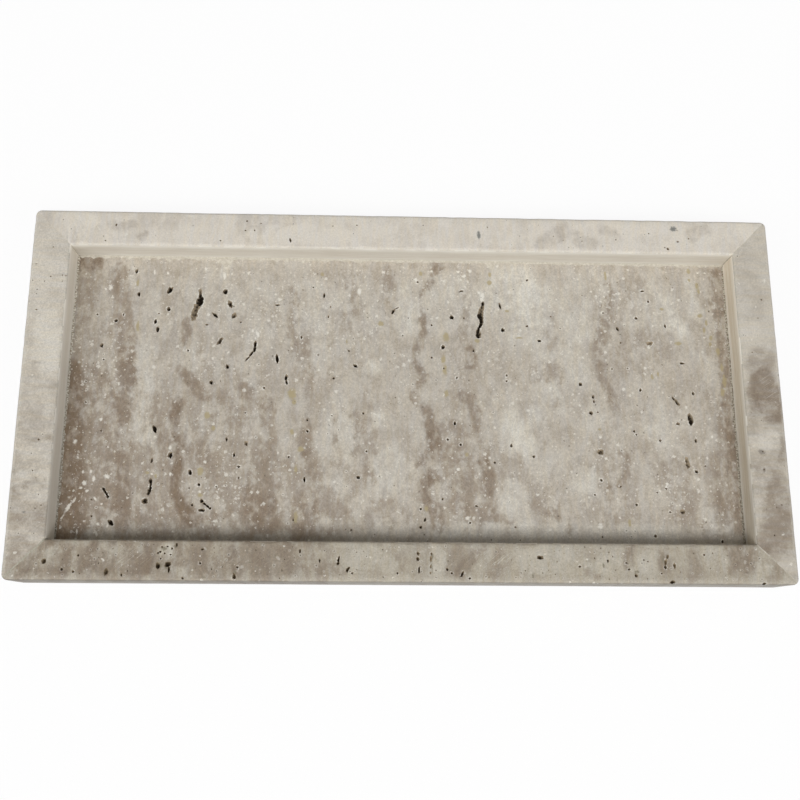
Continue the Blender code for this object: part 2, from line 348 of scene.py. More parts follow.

# %% [markdown]
# ## Places with a tone of their own
# A vein starts with its strength, followed by a line of points: pixel across, pixel down and
# half its width there. A patch is its strength, the pixel of its middle, half its width and half
# its height in pixels and, where it is turned, the angle in degrees. Dark veins mix the stone
# towards brown, pale patches do the opposite, and white specks gather in the speckled ones.
# On the floor some dark rows are painted shade rather than veins: the dark corner at the back
# left, the dark band at the foot of the left wall (partly brown stone), the band along the foot
# of the front wall and the broad darkening towards the front left. Some pale patches are painted
# light: the wide ones across the back of the floor and the long one at the foot of the front wall.

# %% Veins and patches of the floor
floor_veins_and_painted_shade = [
    # Painted shade, partly brown stone: the dark back-left corner and the band along the foot of the left
    # wall.
    (0.2, (82, 262, 13), (80, 320, 16), (76, 370, 18)), (0.85, (84, 260, 11), (94, 262, 9)),
    (0.9, (72, 370, 10), (68, 400, 15), (66, 440, 18), (62, 500, 23), (60, 540, 27)),
    (0.1, (92, 270, 10), (94, 290, 8)), (0.35, (120, 270, 8), (124, 310, 10), (128, 335, 9)),
    (0.5, (126, 352, 8), (127, 365, 10), (130, 385, 8)), (0.35, (122, 400, 10), (126, 440, 9),
    (120, 480, 9), (124, 525, 8)), (0.4, (92, 390, 26), (98, 440, 28), (96, 500, 30)),
    (0.9, (178, 402, 5), (173, 418, 5), (178, 432, 4.5), (183, 444, 4.5), (178, 456, 4.5),
    (175, 475, 5), (176, 494, 5), (183, 508, 6), (195, 520, 7)), (0.45, (186, 318, 4), (188, 332, 5),
    (184, 345, 3)), (0.5, (182, 370, 6), (192, 380, 7), (200, 392, 8), (206, 398, 5)),
    (0.45, (244, 390, 8), (258, 392, 10), (266, 404, 8)), (0.25, (268, 415, 7), (272, 440, 6)),
    (0.3, (262, 455, 16), (262, 480, 18), (260, 505, 20), (262, 526, 20)), (0.4, (250, 490, 8),
    (256, 512, 12), (270, 502, 10)), (0.22, (304, 345, 8), (307, 390, 8)), (0.4, (305, 422, 5),
    (305, 436, 7), (307, 452, 7)), (0.25, (308, 460, 8), (316, 478, 7)), (0.35, (306, 505, 13),
    (300, 532, 14)), (0.25, (292, 290, 4), (297, 306, 5), (290, 330, 4), (296, 350, 4)),
    (0.2, (352, 275, 8), (352, 300, 8), (346, 330, 6)), (0.2, (368, 395, 6), (368, 435, 7),
    (372, 480, 7)), (0.35, (392, 268, 5), (390, 282, 6), (386, 300, 4)), (0.6, (440, 268, 6),
    (434, 280, 6), (424, 292, 4), (421, 310, 4), (423, 330, 5), (416, 350, 5), (416, 362, 5),
    (424, 376, 5), (418, 388, 4), (412, 394, 5), (422, 404, 5), (428, 418, 6), (435, 434, 7),
    (434, 450, 7), (424, 458, 5), (420, 468, 5), (432, 476, 7), (422, 486, 5), (424, 498, 5),
    (434, 506, 6), (438, 526, 7)), (0.4, (434, 436, 5), (435, 448, 6)), (0.4, (424, 474, 5),
    (432, 478, 6), (424, 485, 5)), (0.25, (467, 300, 6), (468, 330, 6)), (0.6, (470, 350, 6),
    (470, 363, 7)), (0.5, (464, 396, 6), (472, 400, 6), (477, 416, 5)), (0.5, (478, 426, 6),
    (483, 438, 6), (485, 450, 6), (484, 464, 6)), (0.6, (484, 464, 6), (488, 478, 8), (487, 492, 7)),
    (0.3, (452, 430, 14), (455, 470, 18), (462, 505, 14)), (0.35, (488, 512, 9), (490, 530, 9)),
    (0.2, (550, 322, 7), (548, 350, 13), (546, 378, 15), (556, 400, 8)), (0.16, (540, 505, 11),
    (552, 508, 9)), (0.3, (554, 514, 7), (562, 522, 6), (568, 532, 6)), (0.4, (606, 290, 8),
    (604, 320, 6), (599, 350, 6), (603, 378, 5), (612, 396, 5), (616, 410, 4)), (0.14, (636, 300, 28),
    (640, 350, 30)), (0.4, (622, 452, 4), (628, 462, 4), (626, 474, 5), (618, 484, 3)),
    (0.4, (605, 488, 7), (608, 489, 7)), (0.5, (716, 275, 9), (716, 300, 9), (722, 330, 6),
    (724, 360, 6), (726, 400, 6)), (0.5, (732, 420, 8), (736, 465, 10), (740, 500, 11), (744, 530, 11)),
    (0.3, (726, 410, 10), (728, 440, 12), (730, 500, 16)), (0.15, (704, 470, 18), (712, 520, 20)),
    # Painted shade: the first row below darkens the floor broadly towards the front left.
    (0.12, (90, 470, 90), (260, 540, 90)), (0.1, (215, 420, 26), (222, 500, 30)), (0.14, (112, 345, 20),
    (128, 390, 24), (140, 430, 26), (150, 470, 26), (140, 520, 30)), (0.6, (68, 400, 7), (62, 440, 10),
    # Painted shade: the dark front-left corner, and from (110, 520) to (400, 522) the shadow along the foot
    # of the front wall.
    (56, 500, 16), (52, 540, 18)), (0.5, (60, 480, 14), (56, 535, 24)), (0.14, (110, 520, 16),
    (400, 522, 14)), (0.14, (170, 400, 20), (180, 440, 24), (200, 480, 22), (198, 530, 26)),
    (0.14, (222, 410, 20), (262, 416, 16)), (0.12, (350, 425, 16), (352, 500, 22)),
    (0.1, (290, 475, 20), (322, 500, 20)), (0.13, (678, 470, 18), (688, 512, 20)), (0.1, (598, 485, 18),
    (622, 512, 18)), (0.2, (470, 460, 12), (470, 484, 12)), (0.12, (200, 358, 13), (202, 400, 15),
    (200, 440, 14), (200, 490, 14), (204, 528, 16)), (0.12, (228, 372, 14), (232, 400, 16),
    (240, 420, 14)), (0.12, (112, 326, 14), (128, 350, 16)), (0.15, (108, 262, 10), (112, 284, 10)),
    (0.12, (500, 480, 12), (502, 520, 14)), (0.12, (330, 428, 12), (352, 432, 12)),
    (0.12, (380, 480, 12), (384, 500, 12)), (0.14, (170, 438, 12), (170, 460, 12)),
    (0.15, (346, 420, 14), (350, 440, 14), (338, 455, 12)), (0.14, (380, 462, 12), (380, 495, 12)),
    (0.2, (470, 515, 12), (472, 530, 12)), (0.1, (600, 410, 22), (606, 450, 24), (606, 510, 26)),
    (0.14, (680, 480, 14), (682, 512, 14)), (0.08, (650, 420, 16), (652, 470, 16)),
]
floor_pale_and_painted_light = [
    # Painted light: the wide pale patches across the back of the floor brighten it there.
    (0.12, 466, 306, 30, 24), (0.12, 512, 400, 12, 12), (0.25, 706, 310, 10, 18),
    (0.3, 384, 526, 10, 9), (0.2, 322, 524, 10, 9), (0.16, 258, 322, 16, 46), (0.16, 320, 312, 14, 34),
    (0.25, 410, 312, 13, 32), (0.14, 470, 300, 34, 20), (0.25, 516, 326, 22, 24),
    (0.3, 586, 332, 8, 16), (0.2, 560, 390, 14, 14), (0.16, 664, 310, 26, 26), (0.18, 320, 360, 12, 28),
    (0.22, 146, 345, 14, 60, -2), (0.22, 148, 415, 13, 40), (0.22, 310, 306, 34, 30),
    (0.12, 352, 300, 20, 30), (0.2, 442, 304, 26, 34), (0.1, 470, 300, 16, 26),
    (0.25, 545, 330, 36, 32), (0.16, 600, 300, 24, 40), (0.26, 650, 308, 30, 30),
    # Painted light: the long patch at (550, 535) lifts the shadow at the foot of the front wall.
    (0.25, 545, 406, 22, 22), (0.12, 555, 480, 16, 40), (0.4, 550, 535, 150, 12), (0.6, 226, 264, 6, 5),
    (0.7, 225, 273, 3.5, 9), (0.2, 210, 300, 30, 36), (0.5, 374, 369, 9, 8), (0.5, 378, 418, 7, 9, 10),
    (0.3, 392, 470, 22, 30), (0.35, 404, 310, 10, 26), (0.25, 340, 450, 18, 50),
    (0.6, 512, 290, 24, 30), (0.45, 534, 300, 18, 30), (0.5, 510, 432, 12, 26),
    (0.5, 526, 440, 10, 26, -4), (0.35, 514, 500, 16, 22), (0.25, 572, 300, 16, 30),
    (0.5, 679, 329, 9, 12, 20), (0.25, 706, 366, 9, 20, 10), (0.4, 578, 362, 14, 26),
    (0.25, 661, 428, 22, 26), (0.35, 584, 480, 14, 14), (0.35, 690, 300, 8, 26, 10),
    (0.4, 720, 529, 9, 5), (0.25, 596, 424, 16, 20),
]
floor_speckled = [
    (0.9, 240, 330, 48, 72), (0.8, 88, 495, 30, 45), (0.8, 212, 480, 36, 50), (0.6, 330, 310, 66, 46),
    (0.8, 606, 296, 18, 13), (0.8, 460, 290, 32, 30), (0.5, 300, 450, 22, 66), (0.6, 692, 480, 34, 60),
    (0.6, 104, 350, 34, 44), (0.6, 610, 470, 30, 40), (0.35, 520, 360, 40, 60),
]
print("veins and patches on the floor:", len(floor_veins_and_painted_shade) + len(floor_pale_and_painted_light) + len(floor_speckled))

# %% [markdown]
# The rails are strips of other blocks, so their bands don't continue those of the floor. The
# front rail is the brownest. The broad rows at the front of the rails are painted shade that
# darkens them towards the front. A fourth list holds the places where the sanding pad left strokes.

# %% Veins and patches of the rails
rail_veins_and_painted_shade = {
    "front_rail": [
        (0.4, (68, 546, 5), (66, 560, 5), (62, 574, 6)), (0.7, (94, 544, 5), (90, 558, 7),
        (86, 574, 8)), (0.35, (106, 560, 8), (110, 574, 8)), (0.4, (128, 548, 7), (134, 560, 10),
        (136, 572, 12)), (0.7, (148, 545, 3.5), (150, 556, 3.5), (148, 570, 4.5)), (0.35, (176, 545, 3),
        (180, 556, 5), (184, 572, 6)), (0.35, (196, 550, 6), (204, 572, 10)), (0.55, (230, 548, 4),
        (233, 558, 5), (236, 572, 5)), (0.35, (254, 548, 9), (262, 562, 12), (262, 576, 10)),
        (0.35, (286, 550, 9), (292, 566, 10), (300, 574, 8)), (0.35, (322, 574, 8), (334, 568, 6),
        (344, 574, 6)), (0.25, (400, 556, 6), (404, 568, 6)), (0.5, (483, 547, 4), (475, 556, 5),
        (466, 564, 5), (460, 574, 6)), (0.2, (458, 552, 9), (452, 566, 10)), (0.35, (500, 552, 8),
        (496, 566, 9), (494, 576, 7)), (0.25, (590, 572, 5), (598, 576, 4)), (0.6, (632, 546, 3),
        (628, 556, 5), (626, 563, 6)), (0.35, (664, 552, 5), (666, 568, 6)), (0.35, (694, 552, 7),
        (698, 566, 8), (692, 578, 6)), (0.4, (728, 548, 4), (732, 562, 5), (730, 572, 4)),
        (0.4, (746, 560, 6), (750, 570, 6)), (0.45, (48, 544, 4), (32, 562, 5), (18, 577, 5)),
        (0.35, (30, 570, 6), (60, 573, 5)), (0.5, (742, 548, 6), (752, 550, 6)), (0.3, (740, 560, 10),
        # Painted shade: the broad row along the left half darkens this rail towards the front left.
        (772, 576, 12)), (0.38, (20, 560, 50), (280, 560, 50)),
    ],
    "back_rail": [
        (0.18, (50, 216, 8), (60, 230, 8), (72, 238, 6)), (0.22, (112, 224, 5), (122, 226, 6),
        (132, 224, 5)), (0.35, (146, 232, 3), (142, 238, 4)), (0.1, (150, 216, 14), (190, 218, 14)),
        (0.12, (250, 226, 16), (290, 228, 16)), (0.25, (562, 232, 10), (548, 240, 8), (538, 246, 4)),
        (0.2, (578, 238, 8), (590, 244, 8)), (0.15, (602, 230, 6), (612, 232, 6)), (0.2, (692, 236, 8),
        (704, 230, 8)),
    ],
    "left_rail": [
        (0.25, (18, 436, 3), (34, 438, 3), (50, 437, 3)), (0.1, (58, 285, 10), (56, 300, 10)),
        (0.25, (20, 560, 12), (28, 550, 10)), (0.35, (46, 545, 3), (30, 560, 4), (16, 575, 4)),
        (0.3, (34, 362, 1.6), (50, 360, 1.8), (68, 361, 1.5)), (0.18, (36, 270, 1.4), (52, 276, 1.6),
        (66, 274, 1.4)), (0.15, (28, 300, 1.5), (44, 304, 1.6)), (0.22, (24, 383, 1.6), (40, 388, 1.6),
        # Painted shade: the broad rows below darken this rail towards its front end.
        (60, 386, 1.6)), (0.14, (20, 430, 60), (20, 480, 60)), (0.1, (40, 340, 40), (30, 400, 40)),
        (0.32, (20, 520, 60), (20, 590, 60)),
    ],
    "right_rail": [
        (0.1, (745, 250, 10), (750, 290, 14), (756, 320, 10)), (0.4, (762, 360, 14), (756, 368, 12)),
        (0.8, (764, 380, 13), (768, 396, 17), (774, 412, 13)), (0.35, (752, 392, 6), (756, 410, 6)),
        (0.4, (775, 486, 8), (780, 508, 16), (776, 540, 18)), (0.5, (748, 548, 6), (760, 552, 8),
        # Painted shade: the broad rows below darken this rail's front half.
        (772, 556, 8)), (0.3, (766, 500, 40), (770, 560, 40)), (0.25, (760, 420, 30), (766, 450, 30)),
        (0.3, (785, 440, 5), (783, 460, 6)),
    ],
}
rail_pale = {
    "front_rail": [
        (0.3, 52, 553, 9, 8), (0.3, 166, 553, 7, 8), (0.25, 170, 572, 14, 6), (0.25, 372, 560, 24, 14),
        (0.4, 438, 560, 8, 16), (0.25, 550, 562, 34, 16), (0.2, 610, 565, 14, 12),
        (0.3, 648, 562, 12, 12), (0.25, 765, 572, 14, 8), (0.2, 712, 556, 6, 12),
    ],
    "back_rail": [
        (0.4, 86, 218, 12, 8, -30), (0.2, 300, 235, 50, 10), (0.35, 748, 230, 14, 8, -40),
        (0.2, 640, 228, 30, 10),
    ],
    "left_rail": [
        (0.25, 48, 340, 16, 30), (0.1, 36, 480, 20, 30),
    ],
    "right_rail": [
        (0.3, 750, 332, 12, 10), (0.35, 766, 440, 20, 10), (0.3, 762, 478, 16, 12),
    ],
}
sanded = {
    "front_rail": [
        (0.6, 128, 558, 16, 12), (0.7, 496, 562, 18, 14), (0.12, 330, 560, 300, 10),
    ],
    "back_rail": [
        (0.9, 82, 228, 20, 16), (0.12, 330, 230, 300, 14),
    ],
    "left_rail": [
        (0.5, 62, 228, 14, 12), (0.15, 36, 400, 20, 140),
    ],
    "right_rail": [
        (0.35, 774, 392, 12, 22), (0.15, 770, 300, 20, 60),
    ],
}
print("veins on the rails:", sum(len(rows) for rows in rail_veins_and_painted_shade.values()))

# %% [markdown]
# ## Filled spots
# Some pores were filled with white cement and others with an olive resin that has yellowed.
# They are too many to model one by one and too plain to miss, so they have lists as well. Each
# row is pixel across, pixel down, half width, half height and, where needed, a turn in degrees.

# %% Spots of filler on the floor
olive_spots = [
    (322.2, 274.6, 2, 2), (381.1, 323.5, 3, 2.5), (445.8, 336.8, 3, 5), (443.3, 359.2, 2.2, 4),
    (444.9, 370, 2, 5), (446.6, 393.2, 2.2, 4), (420.9, 273.8, 1.7, 2.5), (489.7, 274.6, 1.5, 3),
    (489.2, 282.9, 2.5, 2.5), (291.6, 394, 4, 5), (518.7, 338.1, 4, 1), (507.1, 311.1, 2, 1.5),
    (346.8, 341.5, 1, 3), (477, 341, 2.5, 2), (426.4, 508.6, 2, 3), (605.2, 275.8, 1.2, 5),
    (688.5, 271.2, 2, 2.5), (688.8, 280.1, 1.3, 1.8), (696.8, 286, 2, 3), (698.6, 291.5, 1.3, 3),
    (661.7, 309.1, 2.5, 1.5), (700.1, 315.6, 2.5, 2), (706.4, 323, 1.2, 3), (710.7, 337.8, 2, 3),
    (710.7, 344.3, 1.5, 2), (718.1, 351.7, 1.7, 4), (721.8, 367.4, 1.5, 4), (724.5, 381.2, 2, 6),
    (722.7, 392.3, 2, 4), (652.4, 376.6, 1.5, 3), (658, 373.8, 1, 3), (678.3, 343.3, 3.5, 2),
    (137.8, 282.9, 1.4, 4), (137.8, 326, 1.4, 5), (207.4, 414.9, 3, 3.5), (213.2, 428.1, 2, 2.5),
    (200, 471.3, 3, 4), (147.7, 472.9, 2.5, 1.5), (156, 476.2, 1.5, 2), (200, 495.3, 2.5, 2),
    (300.7, 448.9, 3, 3), (295.7, 517.7, 2, 6), (467.3, 454.7, 2, 2), (599.7, 429.4, 2, 1.3),
    (629.8, 523.2, 1.5, 4), (294, 402, 2, 3), (292, 432, 1.6, 3), (296, 470, 1.6, 4), (704, 330, 1.4, 3),
]
white_spots = [
    (359.5, 291.2, 2, 4), (383.6, 272.1, 1.6, 1.6), (416, 279.6, 2.3, 2), (431.7, 271.3, 1.6, 1.6),
    (458, 272, 2, 1.4), (464, 276, 2.4, 1.5, 20), (470, 271, 1.6, 2.2), (461, 280, 1.2, 1.2),
    (468, 282, 1, 1.6), (482.2, 297, 2.4, 5.5), (74.8, 441.4, 2.3, 2.3), (100.8, 419.4, 1.8, 1.8),
    (84.7, 482.9, 2.5, 2.2), (80.6, 487.8, 2, 1.4), (83, 472.4, 1.2, 2), (107.1, 476.7, 2.8, 2.2, -20),
    (93.8, 478.7, 1.5, 3), (91, 471.3, 1.5, 1.5), (68.1, 507.7, 1.8, 7, -28), (60.7, 526, 1.3, 5, -10),
    (76.9, 531.8, 1, 3), (96.3, 534.3, 1.4, 3.4, 20), (170.1, 448, 1.5, 2.2), (107.1, 526, 1.2, 1.2),
    (258.3, 335.1, 1.5, 2.5), (591, 292, 1.2, 1.2), (596, 296, 1.4, 1.2), (600, 290, 1.2, 1.1),
    (604, 297, 1.1, 1.3), (608, 292, 1.3, 1.2), (612, 300, 1.2, 1.1), (616, 294, 1.1, 1.1),
    (620, 299, 1.2, 1.2), (601, 302, 1.1, 1.1), (594, 301, 1, 1), (641.3, 290.6, 1.6, 1.4),
    (697.7, 273, 1.5, 1.3), (704.2, 273, 1.3, 1.3), (600.6, 437.2, 1.8, 1.6), (606.2, 458.4, 1.8, 1.8),
    (600.6, 526.9, 2.6, 2.2), (666.3, 487.1, 1.4, 1.4), (467.3, 518.5, 2.4, 2), (489.7, 458, 1.4, 1.6),
    (489.7, 468, 1.4, 1.4), (458.2, 469.6, 1.8, 1.8), (110.4, 287.9, 2.2, 2), (105.5, 288.7, 1.5, 1.4),
    (253, 331, 1.4, 1.8), (152, 474, 1.2, 1.2), (108, 447, 1, 1), (224.6, 276, 1.4, 5),
    (155, 272, 1, 3.4), (168, 273, 1.2, 1.6), (206, 269, 1.4, 1.8), (110.5, 286, 1.8, 1.6),
    (257.6, 333.5, 1.6, 2.2), (255, 338, 1, 1.4), (479, 293, 1.6, 2.6, 25), (95, 498.5, 1.1, 2.4, 30),
    (87, 491, 1.8, 1.6), (102, 504, 1.2, 1.2), (62, 517, 1, 4, -20), (74, 500, 1, 4, -25),
    (98, 524, 1.6, 1.6), (240, 478, 1.6, 1.2), (170, 474, 1.6, 1.8), (205, 462, 1.8, 1.6),
    (214, 521, 2.6, 1.2, 20), (219, 526, 2, 1, 30), (600, 524, 2.2, 1.2), (593, 509, 1, 1.8),
    (620, 518, 1.4, 1.2), (667, 484, 1.6, 1.4), (712, 437, 1.4, 1.6),
]
print("spots on the floor:", len(olive_spots) + len(white_spots))

# %% [markdown]
# On the rails the pores are grey or brown rather than olive: shallow ones whose filler has worn
# down, and stains round the pits.

# %% Grey spots on the rails
grey_spots = {
    "front_rail": [
        (432.2, 556, 1.2, 3), (431.5, 566, 1.3, 8), (159, 565, 2.6, 2.4), (166.5, 567, 2.4, 2.4),
        (164, 549, 3, 2), (176, 546, 1.6, 2.2), (204, 577, 2, 1.4), (533, 576, 1.2, 2),
        (785, 574, 2.4, 2), (637, 572, 3, 1.6, 30), (234.5, 573, 1.6, 3.4), (663, 560, 1.2, 5),
        (250, 562, 1.6, 1.6), (311, 572, 1.4, 1.2), (90, 556, 1.4, 1.2), (604, 566, 1.2, 2.4),
    ],
    "back_rail": [
        (478.6, 235, 1.8, 4.5), (673, 229, 3.2, 2.8), (678, 242, 1.4, 1), (603, 247, 1.5, 1),
    ],
    "left_rail": [
        (14, 470, 1.5, 1), (24, 512, 2, 1),
    ],
    "right_rail": [
        (762, 452, 4, 2.6, -25), (764.3, 470, 1.4, 2.4), (779, 457, 1.4, 1.6),
    ],
}
print("spots on the rails:", sum(len(rows) for rows in grey_spots.values()))


# %% [markdown]
# ## From patches to the mesh
# A stone with this many patches would need hundreds of nodes. It is lighter to store how brown
# and how pale each point of the mesh is, as an attribute that the material reads and then breaks
# up with noise. The coordinates are bent a little first, so that no ellipse stays an ellipse. The
# noise that bends them has a fixed seed, because it would differ from run to run without one.

# %% Measure how near the points are
noise.seed_set(7)


def bent_points(mesh, wide_bend, fine_bend):
    spots = np.empty(len(mesh.vertices) * 3)
    mesh.vertices.foreach_get("co", spots)
    spots = spots.reshape(-1, 3) / mm
    wide = [noise.noise_vector(Vector(spot) / 9) for spot in spots]
    fine = [noise.noise_vector(Vector(spot) / 3.1) for spot in spots]
    return spots + wide_bend * np.array(wide) + fine_bend * np.array(fine)


def whole_row(row):
    no_turn_full_depth = (0, 1.0)
    return row + no_turn_full_depth[len(row) - 4:]


def ellipse_ratio(points, row, height, margin=0.0):
    pixel_x, pixel_y, wide, long, turn = whole_row(row)[:5]
    centre = place_of(pixel_x, pixel_y, height)
    size = pixel_size(centre) / mm
    centre = centre / mm
    east = points[:, 0] - centre.x
    north = points[:, 1] - centre.y
    cosine = math.cos(math.radians(turn))
    sine = math.sin(math.radians(turn))
    across = (east * cosine + north * sine) / (wide * size + margin)
    along = (north * cosine - east * sine) / (long * size + margin)
    return np.hypot(across, along)


def vein_ratio(points, line, height):
    ratio = np.full(len(points), np.inf)
    for start, end in zip(line, line[1:]):
        low = place_of(start[0], start[1], height)
        high = place_of(end[0], end[1], height)
        low_width = start[2] * pixel_size(low) / mm
        high_width = end[2] * pixel_size(high) / mm
        low_spot = np.array(low / mm)[:2]
        way = np.array(high / mm)[:2] - low_spot
        offset = points[:, :2] - low_spot
        share = np.clip(offset @ way / (way @ way), 0, 1)
        distance = np.hypot(*(offset - share[:, None] * way).T)
        ratio = np.minimum(ratio, distance / (low_width + (high_width - low_width) * share))
    return ratio


print("a spot's row in full:", whole_row(white_spots[0]))


# %% [markdown]
# A tone fades out across its edge, but a spot has a clear edge, which a coarse mesh can't hold.
# For a spot the mesh stores how near each point is to it instead, a value that changes evenly,
# and the material draws the edge where that value passes a limit. Most pits get a pale rim in
# the same way.

# %% Store tones and spots on a mesh
def store(mesh, label, values):
    mesh.attributes.new(label, "FLOAT", "POINT").data.foreach_set("value", values)


def soft_share(ratio):
    share = np.clip((1.25 - ratio) / 0.6, 0, 1)
    return share * share * (3 - 2 * share)


def store_veins(piece, label, rows, height):
    points = bent_points(piece.data, 1.2, 0.5)
    shares = [row[0] * soft_share(vein_ratio(points, row[1:], height)) for row in rows]
    store(piece.data, label, sum(shares))


def store_patches(piece, label, rows, height):
    points = bent_points(piece.data, 2.2, 0.9)
    shares = [row[0] * soft_share(ellipse_ratio(points, row[1:], height)) for row in rows]
    store(piece.data, label, sum(shares))


def store_spots(piece, label, rows, height, rimmed=(), rim=0.35):
    points = bent_points(piece.data, 0.0, 0.25)
    near = np.zeros(len(points))
    for row in rows:
        near = np.maximum(near, 2.0 - ellipse_ratio(points, row, height))
    for row in rimmed:
        near = np.maximum(near, 2.0 - ellipse_ratio(points, row, height, rim))
    store(piece.data, label, near)


print("tone in the middle, near the edge and outside:", soft_share(np.array([0, 0.95, 1.3])))


# %% [markdown]
# ## The stone material
# One function builds the floor's stone and the rails' stone from the same groups, each with
# its own colours, patches and specks. In the side rails the bands lie the other way, so their
# coordinates are turned before they reach the groups.

# %% Helpers for materials
def principled(name, **values):
    material = bpy.data.materials.new(name)
    material.use_nodes = True
    tree = material.node_tree
    shader = tree.nodes["Principled BSDF"]
    for label, value in values.items():
        shader.inputs[label.replace("_", " ")].default_value = value
    return material, tree, shader


def object_millimetres(tree):
    point = tree.nodes.new("ShaderNodeTexCoord").outputs["Object"]
    return vector_calc(tree, "SCALE", point, 1 / mm)


def bump(tree, height, shader, distance, strength):
    values = {"Height": height, "Distance": distance, "Strength": strength}
    tree.links.new(add_node(tree, "ShaderNodeBump", values).outputs[0], shader.inputs["Normal"])


def stored(tree, label):
    return add_node(tree, "ShaderNodeAttribute", attribute_name=label).outputs["Fac"]


# %% [markdown]
# The stone is mixed in the order in which it came about: the brown bands, the pale patches and
# the rubbed and sanded places, the grain, the filled pores, and last the open pin pores. Some
# layers also paint light and shade: shade in some brown bands, light in some pale patches, a
# highlight on the rubbed arrises, darkened outer sides, and dark pin pores too small to cut.

# %% Build a stone
cool_tint = (0.984, 1.0, 1.027, 1)
warm_tint = (1.018, 1.0, 0.95, 1)


def make_stone(name, tones, turned=False, white=0.5, pins=0.3, band_share=0.35, clouds=0.35):
    material, tree, shader = principled(name, Specular_IOR_Level=0.4)
    point = object_millimetres(tree)
    lie = point
    if turned:
        quarter_turn = {"Vector": point, "Rotation": (0, 0, math.radians(90))}
        lie = add_node(tree, "ShaderNodeMapping", quarter_turn).outputs[0]
    vein = use_group(tree, veins, {"Vector": lie, "Bend": 6.0, "Stroke Angle": tones["stroke_angle"]})
    grain = vein["Grain"]
    brown = times(tree, stored(tree, "brown"), times(tree, vein["Clouds"], 0.35, 1.0))
    pale = times(tree, stored(tree, "pale"), times(tree, vein["Clouds"], -0.4, 1.0))
    brown = times(tree, vein["Bands"], band_share, brown)
    brown = times(tree, vein["Clouds"], clouds * 0.45, brown)
    brown = times(tree, vein["Streaks"], clouds * 0.08, brown)
    brown = calc(tree, "TANH", calc(tree, "SUBTRACT", brown, pale), clamp=True)
    colour = blend(tree, brown, tones["middle"], tones["brown"])

    pale = times(tree, vein["Clouds"], -clouds * 0.5, pale, clamp=True)
    # Pale arrises: partly sanding wear, partly painted highlight.
    edges = use_group(tree, rub_highlight_and_side_shade, {"Vector": point, "Outer Width": tones["rub_width"]})
    rub_and_highlight = times(tree, edges["Outer"], tones["rub_and_highlight"])
    rub_and_highlight = calc(tree, "MAXIMUM", rub_and_highlight, times(tree, edges["Inner"], tones["inner"]))
    strokes = times(tree, vein["Strokes"], stored(tree, "sanded"), clamp=True)
    for share in (pale, rub_and_highlight, strokes):
        colour = blend(tree, share, colour, tones["pale"])
    colour = vector_calc(tree, "SCALE", colour, times(tree, grain, tones["grain"], 1.0))
    tint = blend(tree, times(tree, vein["Streaks"], 0.5, 0.5), cool_tint, warm_tint)
    colour = vector_calc(tree, "MULTIPLY", colour, tint)

    dusty = times(tree, stored(tree, "dusty"), white, white * 0.4)
    dots = {}
    for label, where, spacing, radius, share in (
        ("fine", point, 1.3, 0.3, dusty),
        ("large", lie, 2.3, 0.55, times(tree, dusty, 0.7)),
        ("flake", lie, 3.4, 0.65, times(tree, dusty, 0.45)),
        ("pin", lie, 1.9, 0.26, pins),
    ):
        values = {"Vector": where, "Spacing": spacing, "Radius": radius, "Share": share}
        dots[label] = use_group(tree, specks, values)
    listed = fade(tree, times(tree, grain, 0.45, stored(tree, "white")), 0.75, 1.45)
    filled = times(tree, listed, tones["rim"])
    for label, mask, strength in (
        ("fine", "Mask", 0.62),
        ("large", "Mask", 0.68),
        ("flake", "Mask", 0.3),
        ("flake", "Outline", 0.3),
        ("pin", "Ring", tones["ring"]),
    ):
        filled = calc(tree, "MAXIMUM", filled, times(tree, dots[label][mask], strength))
    colour = blend(tree, filled, colour, tones["filler"])
    olive = fade(tree, times(tree, grain, 0.5, stored(tree, "spot")), 0.7, 1.35, 0.0, 0.85)
    colour = blend(tree, olive, colour, tones["spot"])
    # Painted shade: the outer side faces are darkened by the side colour.
    side = blend(tree, edges["Side"], white_light, tones["side"])
    colour = vector_calc(tree, "MULTIPLY", colour, side)
    # Painted shade: open pin pores, too small to cut, are drawn as dark dots.
    holes = dots["pin"]["Mask"]
    colour = blend(tree, times(tree, holes, 0.75), colour, tones["pore"])
    tree.links.new(colour, shader.inputs["Base Color"])

    rough = times(tree, filled, 0.2, times(tree, grain, 0.06, 0.6))
    tree.links.new(rough, shader.inputs["Roughness"])
    relief = times(tree, grain, 0.35, times(tree, holes, -1.5))
    relief = times(tree, vein["Clouds"], 0.2, relief)
    relief = times(tree, olive, -0.5, relief)
    bump(tree, relief, shader, 0.06 * mm, 0.5)
    return material


# %% [markdown]
# The floor's tones come first, and the rails change only what differs: they are paler, with less
# grain, and the front rail is darker and has most pin pores. The back rail's paler tone is partly
# painted light, to keep that end bright.

